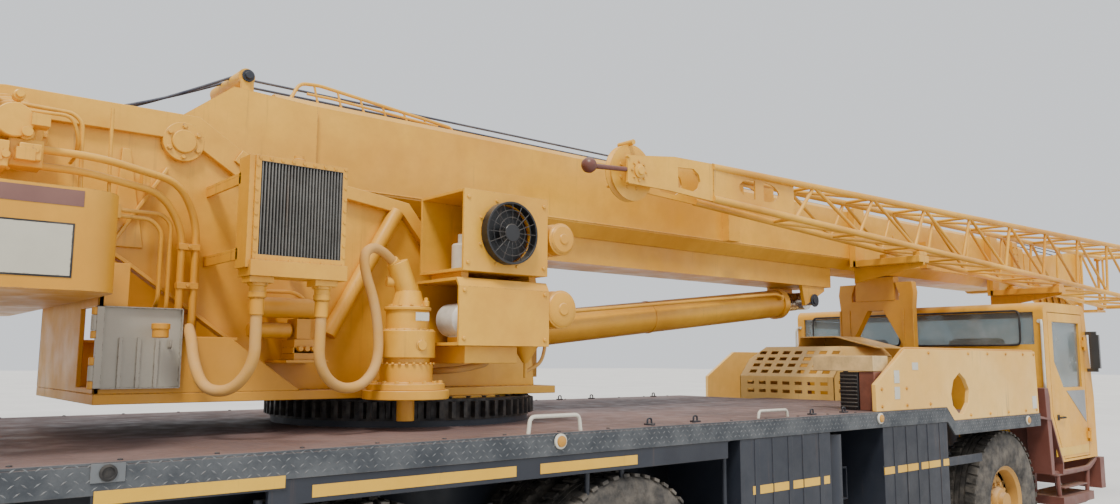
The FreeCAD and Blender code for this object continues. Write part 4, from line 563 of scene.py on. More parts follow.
HOSES = (
    ("hose_cooler_tail", 0.794, ((-1169, -900, 1850), (-1169, -900, 1735), (-1167, -898, 1600), (-1225, -838, 1492),
                                (-1300, -748, 1494), (-1322, -672, 1595), (-1318, -612, 1705),
                                (-1316, -560, 1740))),
    ("hose_cooler_drive", 1.316, ((-903, -900, 1850), (-903, -900, 1735), (-905, -896, 1590), (-815, -870, 1497),
                                 (-684, -838, 1497), (-592, -812, 1590), (-586, -800, 1740), (-610, -792, 1880),
                                 (-655, -786, 2000), (-655, -775, 2088), (-575, -752, 2122), (-492, -732, 2062))),
)
HOSE_RADIUS = 22


def lay_hoses():
    """The oil cooler's two free hoses, each one smooth line through its route."""
    for node, length, route in HOSES:
        curve = bpy.data.curves.new(node + "_line", "CURVE")
        curve.dimensions = "3D"
        curve.bevel_depth = HOSE_RADIUS * MM
        curve.bevel_resolution = 5
        curve.resolution_u = 10
        curve.use_fill_caps = True
        line = curve.splines.new("NURBS")
        line.points.add(len(route) - 1)
        for point, place in zip(line.points, route):
            point.co = (*at(*place), 1)
        line.order_u = 3
        line.use_endpoint_u = True
        curve.materials.append(FINISHES["hose"])
        hose = bpy.data.objects.new(node + "_soft", curve)
        bpy.context.scene.collection.objects.link(hose)
        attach(hose, "superstructure")


# Carrier pieces

DECK_TOP = 1300
DECK_STEP = 95
HALF_WIDTH = 1250
STEP_X = 3655
STEP_SLOPE = 50


def deck_edge_bars():
    """The tread plate's raised bars along both edges of the deck."""
    bars = Piece()
    runs = (
        # rear X, front X, Z of the rows
        (-2440, STEP_X - STEP_SLOPE - 20, (1221, 1245, 1269, 1290)),
        (STEP_X + STEP_SLOPE + 20, 5140, (1128, 1150, 1172, 1194)),
    )
    for rear, front, levels in runs:
        for row, z in enumerate(levels):
            for number in range(int((front - rear) / 34)):
                x = rear + 17 + 34 * number + (17 if row % 2 else 0)
                lean = 1 if (number + row) % 2 else -1
                for side in (RIGHT, LEFT):
                    y = side * HALF_WIDTH
                    tip, flat = 12, 3.2
                    outline = [(x - tip, z - lean * tip * 0.7), (x + lean * flat * 0.4 - 0, z - flat),
                               (x + tip, z + lean * tip * 0.7), (x - lean * flat * 0.4, z + flat)]
                    ridge = y + side * 1.6
                    corners = [(u, y - side * 0.5, w) for u, w in outline]
                    corners.append((x, ridge, z))
                    bars.add(corners, [(0, 1, 4), (1, 2, 4), (2, 3, 4), (3, 0, 4)])
    bars.done("deck_tread_bars", "edge_bars", "carrier", smooth=10)


def carrier_strips():
    """Reflective strips under the deck edge, on both sides."""
    strips = Piece()
    rows = (
        # rear X, front X, low Z, high Z, distance out from the middle
        (-1778, -1174, 1172, 1214, 1253), (-1070, -160, 1128, 1172, 1246), (-30, 560, 1128, 1172, 1246),
        (1430, 2150, 905, 950, 1246), (2760, 3600, 905, 950, 1246),
    )
    for rear, front, low, high, out in rows:
        for side in (RIGHT, LEFT):
            strips.block((rear, front), (side * (out - 4), side * out), (low, high))
    strips.done("reflective_strips", "strip_yellow", "carrier", bevel=0.8)
    backs = Piece()
    for rear, front, low, high, out in rows:
        for side in (RIGHT, LEFT):
            backs.block((rear - 8, front + 8), (side * (out - 7), side * (out - 4)), (low - 7, high + 7))
    backs.block((3600, 4100), (-1246, -1240), (898, 957))
    backs.block((3600, 4100), (1240, 1246), (898, 957))
    backs.done("strip_backs", "dark", "carrier", bevel=0.8)


def deck_fittings():
    """Grab loops, marker lamps, towing eyes and clips on the deck's edge."""
    loops = Piece()
    for side in (RIGHT, LEFT):
        y = side * 1228
        loops.tube([(-85, y, 1298), (-75, y, 1372), (205, y, 1372), (215, y, 1298)], 9, 10, 26)
        loops.tube([(1560, side * 1190, 1298), (1568, side * 1190, 1340), (1822, side * 1190, 1340),
                    (1830, side * 1190, 1298)], 8, 10, 24)
    loops.done("grab_loops", "pale_paint", "carrier")
    bezels = Piece()
    lenses, plates, holders = Piece(), Piece(), Piece()
    for x, z in ((75, 1262), (2718, 1258), (4900, 1160)):
        for side in (RIGHT, LEFT):
            y = side * HALF_WIDTH
            bezels.lathe((x, y, z), "Y", [(0, side * 1), (34, side * 1), (34, side * 9), (27, side * 12)], 28)
            lenses.lathe((x, y, z), "Y", [(26, side * 10), (24, side * 17), (12, side * 22), (0, side * 23)], 28)
    for side in (RIGHT, LEFT):
        y = side * HALF_WIDTH
        plates.block((-1792, -1692), (y, y + side * 4), (1238, 1296))
        holders.lathe((-1742, y, 1267), "Y", [(0, side * 4), (26, side * 4), (26, side * 9), (19, side * 11),
                                              (16, side * 6), (0, side * 6)], 24)
    plates.done("lamp_plates", "edge_bars", "carrier", bevel=1)
    holders.done("lamp_holders", "black_trim", "carrier")
    bezels.done("marker_bezels", "pale_paint", "carrier", bevel=1)
    lenses.done("marker_lenses", "amber_lens", "carrier")
    bits = Piece()
    for x in (700, 1040, 2080, 2420, 3150):
        for side in (RIGHT, LEFT):
            bits.block((x, x + 46), (side * 1150, side * 1185), (1300, 1308))
            bits.tube([(x + 8, side * 1167, 1304), (x + 10, side * 1167, 1332), (x + 36, side * 1167, 1332),
                       (x + 38, side * 1167, 1304)], 5, 8, 10)
    for number in range(20):
        x = -2300 + number * 300
        for side in (RIGHT, LEFT):
            bits.lathe((x, side * 1212, 1300), "Z", [(9, 0), (9, 3), (5, 5), (0, 5)], 10)
    bits.done("deck_bits", "dark", "carrier", bevel=0.8)
    ring = Piece()
    ring.bolts((0, 0, 1330), "Z", 655, 48, 13, 14)
    ring.done("ring_bolts", "greasy", "carrier", bevel=0.6)
    ring = Piece()
    ring.bolts((0, 0, 1440), "Z", 640, 40, 12, -8)
    ring.done("ring_bolts_upper", "greasy", "superstructure", bevel=0.6)


def underside():
    """Rods, tanks' straps, hoses' rails and steps that hang under the deck edge."""
    posts = Piece()
    for side in (RIGHT, LEFT):
        for x, y, low in ((288, 1190, 700), (507, 1190, 700), (1260, 1190, 640)):
            posts.bar((x, side * y, low), (x, side * y, 1200), 12, 12)
            posts.block((x - 24, x + 24), (side * (y - 20), side * (y + 20)), (1188, 1200))
        posts.tube([(-1240, side * 1180, 1130), (-1240, side * 1180, 720), (-2150, side * 1180, 720),
                    (-2150, side * 1180, 1130)], 16, 12, 60)
        for x in (1450, 1750, 2050, 2880, 3180, 3480):
            posts.block((x, x + 40), (side * 1240, side * 1247), (560, 1195))
    posts.done("side_rods", "dark", "carrier", bevel=1)


def wheel_forms(name, x, y, out, twin):
    """Tyres with tread blocks and side ribs, and rims with hand holes, hub and nuts."""
    tyres = Piece()
    rims = Piece()
    centres = (y - 170, y + 170) if twin else (y,)
    for number, middle in enumerate(centres):
        half = 138
        side_wall = [(270, -half + 26), (300, -half + 6), (380, -half), (450, -half + 2), (500, -half + 10),
                     (522, -half + 20), (529, -half + 34)]
        tread = [(529, -46), (520, -44), (520, -36), (529, -34), (530, -5), (521, -4), (521, 4), (530, 5),
                 (529, 34), (520, 36), (520, 44), (529, 46)]
        outline = side_wall + tread + [(radius, -along) for radius, along in reversed(side_wall)]
        outline += [(262, half - 26), (262, -half + 26)]
        tyres.lathe((x, middle, 542), "Y", outline, 72, closed=True)
        for spot in range(48):
            turn = 2 * math.pi * spot / 48
            for side in (-1, 1):
                centre = turn + (0.5 if side > 0 else 0.0) * 2 * math.pi / 48
                corners = []
                for radius, near, far in ((526, 50, 128), (541, 52, 124)):
                    for along, lean in ((near, -0.036), (near, 0.036), (far, 0.052), (far, -0.016)):
                        angle = centre + lean
                        corners.append((x + radius * math.cos(angle), middle + side * along,
                                        542 + radius * math.sin(angle)))
                tyres.add(corners, [(0, 1, 2, 3), (7, 6, 5, 4), (0, 4, 5, 1), (1, 5, 6, 2), (2, 6, 7, 3),
                                    (3, 7, 4, 0)])
        face = out if not twin or (middle - y) * out > 0 else -out
        dish = 30 * face if not twin else -60 * face
        rims.lathe((x, middle, 542), "Y", [(272, -118), (276, -112), (258, -96), (250, -60), (250, 60), (258, 96),
                                           (276, 112), (272, 118), (244, 100), (238, 60), (238, -60), (244, -100)],
                   56, closed=True)
        disc = [(240, dish * 0.4 - 6), (205, dish * 0.4 - 6), (150, dish - 6), (0, dish - 6), (0, dish + 6),
                (150, dish + 6), (205, dish * 0.4 + 6), (240, dish * 0.4 + 6)]
        rims.lathe((x, middle, 542), "Y", disc, 56)
        for hole in range(10):
            angle = 2 * math.pi * hole / 10
            spot = (x + 205 * math.cos(angle), middle + dish * 0.55 + face * 7, 542 + 205 * math.sin(angle))
            rims.lathe(spot, "Y", [(20, 0), (17, face * 3), (15, 0)], 14, closed=True)
    hub_y = y + out * (170 if twin else 0)
    foot = hub_y + out * (24 if not twin else -66)
    rims.lathe((x, foot, 542), "Y", [(112, 0), (112, out * 26), (96, out * 60), (74, out * 66), (70, out * 96),
                                     (0, out * 100)], 36)
    rims.bolts((x, foot + out * 10, 542), "Y", 136, 10, 15, out * 26)
    tyres.done(name + "_tyre", "tyre", name, smooth=40)
    made = rims.done(name + "_rim", "rim", name, smooth=36)
    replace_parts(made, name)


def wheels():
    for tag, side in (("right", RIGHT), ("left", LEFT)):
        wheel_forms("wheel_front_" + tag, 4650, side * 1045, side, False)
        for row, x in (("middle", 530), ("rear", -820)):
            wheel_forms(f"wheel_{row}_{tag}", x, side * 918, side, True)


def cab_trim():
    """Window seals, handrails, steps, a handle and the lower door panels of the carrier's cab."""
    seals = Piece()
    rear = 5410
    for side in (RIGHT, LEFT):
        inner, outer, low, high = side * 76, side * 1024, 1761, 2054
        seals.tube([(rear - 4, inner + side * 300, low), (rear - 4, outer, low), (rear - 4, outer, high),
                    (rear - 4, inner, high), (rear - 4, inner, low), (rear - 4, inner + side * 310, low)], 9, 8, 46)
    seals.done("rear_window_seals", "black_trim", "carrier")
    rails = Piece()
    for side in (RIGHT, LEFT):
        y = side * 1200
        rails.tube([(5400, y, 1967), (5376, side * 1212, 1930), (5376, side * 1212, 1440), (5402, y, 1400)], 11, 10, 30)
        rails.bar((5402, side * 1180, 1960), (5412, side * 1180, 1960), 16)
    rails.done("cab_handrails", "pale_paint", "carrier")
    guard = Piece()
    for side in (RIGHT, LEFT):
        guard.plate("XZ", [(5300, 1403), (5372, 1403), (5400, 1330), (5400, 1000), (5408, 830), (5408, 700),
                           (5350, 700), (5330, 1000)], side * 1060, side * 1235)
        guard.tube([(5412, side * 1190, 720), (5520, side * 1190, 690), (6240, side * 1190, 690),
                    (6400, side * 1190, 760)], 24, 12, 60)
        guard.tube([(5560, side * 1190, 690), (5600, side * 1190, 420), (6180, side * 1190, 420),
                    (6220, side * 1190, 690)], 18, 12, 60)
        for z in (440, 560):
            guard.block((5640, 6140), (side * 1120, side * 1215), (z, z + 14))
    guard.done("cab_mudguards", "bumper", "carrier", bevel=4)
    for tag, side in (("right", RIGHT), ("left", LEFT)):
        face = side * 1215
        trim = Piece()
        trim.tube([(5585, face, 1150), (5590, face + side * 24, 1150), (5700, face + side * 24, 1150),
                   (5705, face, 1150)], 8, 8, 14)
        trim.block((5575, 5620), (face, face + side * 5), (1128, 1175))
        trim.done("door_handle_" + tag, "black_trim", "carrier_door_" + tag, bevel=1.5)
        panel = Piece()
        panel.plate("XZ", [(5800, 1372), (6205, 1372), (6205, 1090)], face, face + side * 3)
        panel.done("door_panel_" + tag, "grey_panel", "carrier_door_" + tag, bevel=1)
        strip = Piece()
        strip.block((5510, 6225), (face, face + side * 3), (830, 900))
        strip.done("door_strip_" + tag, "strip_yellow", "carrier_door_" + tag, bevel=0.8)


def panel_fittings():
    """Blank plates, bolts and edging on the side panels and the engine cover's catches."""
    plates = Piece()
    y = -1246
    for x, z, wide, high in ((2915, 1475, 66, 84), (2915, 1372, 66, 80), (5020, 1245, 78, 100)):
        plates.block((x, x + wide), (y - 2, y), (z, z + high))
    plates.block((3150, 3230), (y - 2, y), (1560, 1610))
    plates.done("blank_plates", "pale_paint", "carrier", bevel=0.6)
    bolts = Piece()
    for x in (2760, 3070, 3380, 3960, 4270, 4580, 4890, 5090):
        for z in (1330 if x < 3600 else 1235, 1675 if x > 3080 else 1440):
            bolts.lathe((x, y, z), "Y", [(14, 0), (14, -2), (8, -2), (8, -9), (0, -9)], 6)
    bolts.tube([(2698, -1222, 1462), (3082, -1222, 1704), (5118, -1222, 1704)], 9, 8, 30)
    bolts.done("panel_fasteners", "ochre", "carrier", bevel=0.8)
    catches = Piece()
    for x in (3990, 4420):
        for side_y in (-208, 750):
            catches.block((x, x + 60), (side_y, side_y + 9), (1500, 1560))
            catches.bar((x + 30, side_y + 4, 1480), (x + 30, side_y + 4, 1580), 6, 8)
    catches.done("cover_catches", "dark", "carrier", bevel=1)


# Forms that replace the plain solids


def deck_forms():
    """The walking deck, stepped down by a slope over the front arches, and the boxes under it."""
    deck = Piece()
    top, low = DECK_TOP, DECK_TOP - DECK_STEP
    well = [(596 * math.cos(turn / 24 * math.pi), 596 * math.sin(turn / 24 * math.pi)) for turn in range(48)]
    rear, slope_top, slope_foot, front = -2450, STEP_X - STEP_SLOPE, STEP_X + STEP_SLOPE, 5150
    deck.plate("XY", [(rear, -HALF_WIDTH), (slope_top, -HALF_WIDTH), (slope_top, HALF_WIDTH), (rear, HALF_WIDTH)],
               top - 10, top, holes=[well])
    deck.block((slope_top, 3900), (-460, 460), (top - 10, top))
    for side in (RIGHT, LEFT):
        outer = side * HALF_WIDTH
        deck.plate("XZ", [(rear, top - 100), (slope_top, top - 100), (slope_foot, low - 100), (front, low - 100),
                          (front, low - 10), (slope_foot, low - 10), (slope_top, top - 10), (rear, top - 10)],
                   outer, outer - side * 12)
        deck.plate("XZ", [(slope_top, top - 10), (slope_foot, low - 10), (front, low - 10), (front, low),
                          (slope_foot, low), (slope_top, top)], side * 460, outer)
    deck.block((rear, rear + 12), (-HALF_WIDTH, HALF_WIDTH), (top - 100, top - 10))
    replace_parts(deck.done("deck_plates", "deck", "carrier", bevel=2), "deck")
    boxes = Piece()
    for rear, front, inner, low in ((1330, 2170, 720, 560), (2760, 3600, 720, 560), (-1230, 1230, 1220, 1110),
                                    (-2440, -2180, 720, 700)):
        for side in (RIGHT, LEFT):
            boxes.block((rear, front), (side * inner, side * (HALF_WIDTH - 6)), (low, 1200))
    for side in (RIGHT, LEFT):
        for start in (1330, 2760):
            for x in (start + 280, start + 560):
                boxes.block((x - 5, x + 5), (side * 1243, side * 1248), (575, 1195))
    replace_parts(boxes.done("side_box_sheets", "dark", "carrier", bevel=6), "side_boxes")


def panel_forms():
    """Side panels, the right one with the hole of a leaf's outline, and the engine's slotted cover."""
    panels = Piece()
    x, z, reach = 3815, 1390, 135
    leaf = [(x - 0.3 * reach, z - reach), (x + 0.15 * reach, z - 1.1 * reach), (x + 0.85 * reach, z - 0.5 * reach),
            (x + reach, z + 0.2 * reach), (x + 0.6 * reach, z + 0.75 * reach), (x, z + 1.1 * reach),
            (x - 0.7 * reach, z + 0.7 * reach), (x - reach, z), (x - 0.85 * reach, z - 0.6 * reach)]
    low, top = DECK_TOP - DECK_STEP, DECK_TOP
    for side, rear, holes in ((RIGHT, 2690, [leaf]), (LEFT, 3960, [])):
        foot = [(STEP_X + STEP_SLOPE, low), (STEP_X - STEP_SLOPE, top), (rear, top)] if rear < STEP_X else [(rear, low)]
        outline = [(5140, low), (5120, 1700), (rear + 390, 1700), (rear, 1470)] + foot[::-1]
        panels.plate("XZ", outline, side * 1246, side * 1216, holes=holes)
    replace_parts(panels.done("side_panel_sheets", "cover", "carrier", bevel=3), "side_panels")
    cover = Piece()
    rear, front, right, left, high, shoulder, slope = 3850, 4760, -200, 750, 1740, 1485, 240
    pitch = (left - right - 90) / 7
    columns = [(right + 60 + pitch * number, right + 132 + pitch * number) for number in range(7)]
    cover.plate("YZ", [(right, top - 10), (left, top - 10), (left, shoulder), (right, shoulder)], rear, rear + 8,
                holes=slots(columns, ((1345, 1373), (1415, 1443))))
    run = math.hypot(slope, high - shoulder)
    along = (slope / run, (high - shoulder) / run)

    def leaning(u, v, w):
        return rear + along[0] * v + along[1] * w, u, shoulder + along[1] * v - along[0] * w

    right_reach, left_reach = run * (high - 80 - shoulder) / (high - shoulder), run * (high - 110 - shoulder) / 255
    cover.plate(leaning, [(right, 0), (left, 0), (left, left_reach), (left - 110, run), (right + 80, run),
                          (right, right_reach)], 0, 8,
                holes=slots(columns, [(38 + 74 * row, 76 + 74 * row) for row in range(4)]))
    top_rear = rear + slope
    cover.plate("XY", [(top_rear, right + 80), (front, right + 80), (front, left - 110), (top_rear, left - 110)],
                high - 8, high)
    for y, inner, edge_y, edge_z in ((right, 8, right + 80, high - 80), (left, -8, left - 110, high - 110)):
        start = rear + slope * (edge_z - shoulder) / (high - shoulder)
        cover.plate("XZ", [(rear, top - 10), (front, top - 10), (front, edge_z), (start, edge_z), (rear, shoulder)],
                    y, y + inner, holes=slots([(3920 + 160 * n, 4020 + 160 * n) for n in range(5)],
                                              ((1360, 1388), (1430, 1458))))
        corners = [(start, y, edge_z), (front, y, edge_z), (front, edge_y, high), (top_rear, edge_y, high)]
        corners += [(u, v, w - 8) for u, v, w in corners]
        cover.add(corners, [(0, 1, 2, 3), (7, 6, 5, 4), (0, 4, 5, 1), (1, 5, 6, 2), (2, 6, 7, 3), (3, 7, 4, 0)])
    cover.plate("YZ", [(-330, 1724), (-330, 1735), (60, 1832), (425, 1832), (450, 1738), (450, 1724), (438, 1724),
                       (418, 1822), (62, 1822), (-318, 1726)], 4300, 4700)
    cover.plate("YZ", [(-310, 1730), (60, 1826), (425, 1826), (445, 1730)], 4692, 4700)
    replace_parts(cover.done("engine_cover_sheets", "cover", "carrier", bevel=1.5), "engine_cover")
    lockers = Piece()
    lockers.block((2745, 2900), (-1088, -955), (top, top + 245))
    lockers.block((2745, 2900), (-1205, -1096), (top, top + 250))
    lockers.block((2735, 2920), (-1205, -760), (top + 252, top + 352))
    for number in range(9):
        lockers.block((2736, 2745), (-1084, -959), (top + 14 + 25 * number, top + 27 + 25 * number))
    lockers.done("locker_boxes", "lockers", "carrier", bevel=4)
    rest = Piece()
    half, sill = 355, 1340
    arm = [(half, sill), (half, 2090), (half + 15, 2225), (half, 2318), (half - 160, 2318), (half - 120, 2215),
           (half - 125, 2160)]
    inside = [(75, 2070), (half - 92, 1740), (half - 92, sill)]
    rest.plate("YZ", arm + [(-u, v) for u, v in arm[::-1]] + [(-u, v) for u, v in inside[::-1]] + inside, 4862, 4938)
    rest.block((4850, 4950), (-470, 470), (1205, sill))
    rest.block((4855, 4945), (-190, 190), (2158, 2371))
    for y in (-355, -263, 263, 355):
        rest.block((4856, 4862), (y - 8, y + 8), (sill, 2080))
    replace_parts(rest.done("boom_rest_portal", "ochre", "carrier", bevel=4), "boom_rest")


def turntable_forms():
    """Two cheeks with raised rims on the slewing plate, the open tail box, its cabinet and the pipes' block."""
    made = Piece()
    base, outer = 1480, 450
    edge = [(-2250, 2600), (-2000, 2636), (-1290, 2640), (-1058, 2493), (-271, 2385), (-60, 2132), (520, 1860)]
    slope = [(-1610, 2030), (-1540, 1985), (-830, base)]
    reach = 830 + (1705 - base) / ((1985 - base) / 710)
    for side in (RIGHT, LEFT):
        y = side * outer
        made.plate("XZ", edge + [(560, base)] + slope[::-1] + [(-1640, 2160), (-2250, 2230)], y, y - side * 24)
        made.strip(edge[:4], 110, y, y + side * 28)
        lead = tuple(a + 0.8 * (b - a) for a, b in zip(edge[2], edge[3]))
        made.strip([lead] + edge[3:], 62, y, y + side * 40)
        made.strip(slope[::-1], 16, y, y + side * 35)
        made.bar((-331, y + side * 28, 2340), (-671, y + side * 28, 1725), 36, 24)
        made.strip([(-1400, 2397), (-1600, 2052)], 14, y, y + side * 30)
        made.plate("XZ", [(-1600, 2060), (-1480, 2060), (-1550, 2462), (-1580, 2462)], y, y + side * 14)
        made.lathe((-1350, y, 2522), "Y", [(0, -side * 10), (84, -side * 10), (84, side * 30), (0, side * 30)], 40)
        tail = side * 560
        made.plate("XZ", [(-1650, base), (-830, base), (-reach, 1705), (-1650, 1705)], tail, tail - side * 15)
        made.block((-1650, -1545), (tail, tail - side * 15), (1705, 1985))
        made.block((-1630, -reach + 40), (tail - side * 15, tail - side * 40), (1690, 1705))
    made.block((-1650, 620), (-560, 560), (1440, base))
    made.lathe((-398, -722, 1440), "Z", [(0, 0), (195, 0), (195, 40), (0, 40)], 48)
    made.lathe((0, 0, 0), "Z", [(0, 1338), (604, 1338), (604, 1440), (0, 1440)], 64)
    made.block((480, 510), (-426, 426), (base, 1620))
    made.plate("YZ", [(-560, base), (560, base), (560, 1985), (-560, 1985)], -1650, -1630,
               holes=slots([(-540, -260)], [(1500, 1815)]))
    made.block((-1650, -1630), (-450, 450), (1985, 2200))
    made.block((-2200, -1640), (-450, 450), (2160, 2260))
    made.bar((400, -426, 1750), (400, 426, 1750), 38, 24)
    made.block((100, 200), (426, 1200), (1450, base))
    made.block((-200, 100), (-900, -426), (1600, 1680))
    made.block((-1500, -1240), (-420, -340), (base, 1810))
    for z in (1560, 1750):
        for low in (z - 60, z + 30):
            made.bar((-1664, -574, low), (-1664, -574, low + 30), 12, 16)
            made.block((-1660, -1642), (-570, -552), (low, low + 30))
    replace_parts(made.done("turntable_plates", "turntable", "superstructure", bevel=3), "turntable")
    door = Piece()
    start, end, low, high, face = -1658, -1344, 1500, 1815, -566
    door.block((start, end), (face - 3, face), (low, high))
    for z in (low, high - 3):
        door.block((start, end), (face - 20, face), (z, z + 3))
    door.block((end - 3, end), (face - 20, face), (low, high))
    door.block((start, start + 26), (face - 20, face), (low, high))
    for number in range(3):
        rib = start + 84 + 66 * number
        door.block((rib, rib + 14), (face - 11, face - 3), (low + 3, low + 195))
    door.tube([(end - 44, face - 4, 1660), (end - 44, face - 24, 1660), (end - 44, face - 24, 1690)], 5, 8, 6)
    for z in (1560, 1750):
        door.bar((-1664, -574, z - 29), (-1664, -574, z + 29), 12, 16)
    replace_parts(door.done("cabinet_door_tray", "cabinet", "cabinet_door", bevel=1), "cabinet_door")


def winch_forms():
    """The drum between the cheeks, with its stepped gearbox and valve blocks outside on the right."""
    made = Piece()
    x, z, y = -1990, 2455, -450
    made.lathe((x, 0, z), "Y", [(0, -424), (190, -424), (190, -404), (140, -404), (140, 404), (190, 404), (190, 424),
                                (0, 424)], 48)
    made.lathe((x, 0, z), "Y", [(0, y - 255), (62, y - 255), (62, y - 170), (88, y - 165), (88, y - 120),
                                (116, y - 110), (116, y - 52), (140, y - 52), (140, y - 32), (66, y - 32), (66, y),
                                (0, y)], 48)
    for rear, front, far, near, low, high in ((-150, -10, -262, -120, -175, -80), (-10, 100, -230, -130, -160, -60),
                                              (20, 90, -262, -230, -140, -80), (-190, -60, -225, -130, 60, 150),
                                              (-175, -75, -240, -150, 150, 168)):
        made.block((x + rear, x + front), (y + far, y + near), (z + low, z + high))
    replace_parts(made.done("winch_and_gearbox", "ochre", "superstructure", bevel=4), "winches")
    pipes = Piece()
    pipes.tube([(x + 90, -640, 2372), (-1700, -640, 2372), (-1380, -560, 2330), (-1290, -512, 2180),
                (-1290, -512, 1735), (-1290, -418, 1735)], 15, 16, 90)
    pipes.tube([(x + 90, -600, 2318), (-1740, -600, 2318), (-1440, -545, 2280), (-1345, -512, 2140),
                (-1345, -512, 1740), (-1345, -418, 1740)], 15, 16, 90)
    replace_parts(pipes.done("pipe_runs", "ochre", "superstructure"), "hydraulic_pipes")


def drive_forms():
    """The slewing gearbox, stepped like its castings, with its leaning motor and the hose's port."""
    x, y, seat, wide, neck, top = -398, -722, 1480, 129, 97, 1853
    made = Piece()
    made.lathe((x, y, 0), "Z", [(0, seat), (175, seat), (175, seat + 28), (wide - 10, seat + 34),
                                (wide - 10, seat + 115), (wide - 24, seat + 120), (wide - 24, seat + 142),
                                (wide, seat + 144), (wide, top - 108), (neck, top - 100), (neck, top - 16),
                                (neck + 10, top - 14), (neck + 10, top), (neck - 20, top + 4), (58, top + 75),
                                (0, top + 75)], 56)
    made.bar((x, y, top + 60), (x - 62, y, top + 205), 50, 32)
    end, before = Vector(HOSES[1][2][-1]), Vector(HOSES[1][2][-2])
    made.bar(end, end + 0.5 * (end - before), 28, 20)
    made.bar((x, y, top + 110), (x - 100, y + 25, top + 118), 24, 18)
    made.bar((x, y, 1340), (x, y, seat), 40, 24)
    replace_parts(made.done("swing_drive_castings", "ochre", "superstructure", bevel=2.5), "swing_drive")


def cooler_forms():
    """The finned oil cooler with its bottom tank, stubs and brackets, and the control valves under it."""
    rear, front, low, high, face, back = -1215, -830, 1995, 2405, -950, -830
    made = Piece()
    made.plate("XZ", [(rear, low), (front, low), (front, high), (rear, high)], face, face + 26,
               holes=slots([(rear + 22, front - 22)], [(low + 22, high - 22)]))
    made.block((rear, front), (face + 26, back), (low, high))
    fins = 26
    pitch = (front - rear - 44) / fins
    for number in range(fins):
        x = rear + 22 + (number + 0.3) * pitch
        made.block((x, x + 0.4 * pitch), (face + 3, face + 26), (low + 22, high - 22))
    made.block((rear - 8, front + 8), (face - 10, back), (low - 62, low))
    made.block((rear - 22, rear), (face + 8, back), (low - 30, high))
    for x in (-1169, -903):
        made.block((x - 48, x + 48), (-942, -858), (low - 86, low - 62))
        made.bar((x, -900, 1850), (x, -900, low - 62), 30, 24)
    for z in (high - 70, low + 40):
        for x in (rear - 22, front - 40):
            made.block((x, x + 40), (back - 20, -450), (z, z + 12))
            made.block((x, x + 10), (back - 20, -450), (z - 34, z))
    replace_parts(made.done("cooler_with_fins", "cooler", "superstructure", bevel=1.2), "oil_cooler")
    valves = Piece()
    for rear, front, near, far, low, high in ((-950, -760, 0, 230, 1600, 1612), (-900, -790, 60, 190, 1612, 1700),
                                              (-885, -820, 70, 175, 1700, 1790), (-905, -785, 70, 190, 1640, 1665),
                                              (-960, -930, 0, 130, 1820, 1850), (-1010, -960, 0, 110, 1725, 1750)):
        valves.block((rear, front), (-450 - near, -450 - far), (low, high))
    for start, length, y, z, radius in ((-1080, 300, -600, 1835, 44), (-1080, 185, -580, 1738, 34)):
        valves.lathe((start, y, z), "X", [(0, 0), (radius - 8, 0), (radius, 8), (radius, length - 8),
                                          (radius - 8, length), (0, length)], 28)
    for x in (-880, -850, -820):
        valves.bar((x, -600, 1790), (x, -600, 1822), 9, 10)
        valves.bar((x, -640, 1660), (x, -668, 1660), 12, 12)
    valves.tube([(-845, -600, 1790), (-845, -600, 1880), (-900, -600, 1905), (-1000, -560, 1905)], 9, 10, 30)
    valves.tube([(-780, -600, 1835), (-740, -600, 1835), (-735, -560, 1700), (-790, -540, 1660)], 8, 10, 30)
    valves.done("valve_bank", "ochre", "superstructure", bevel=2)


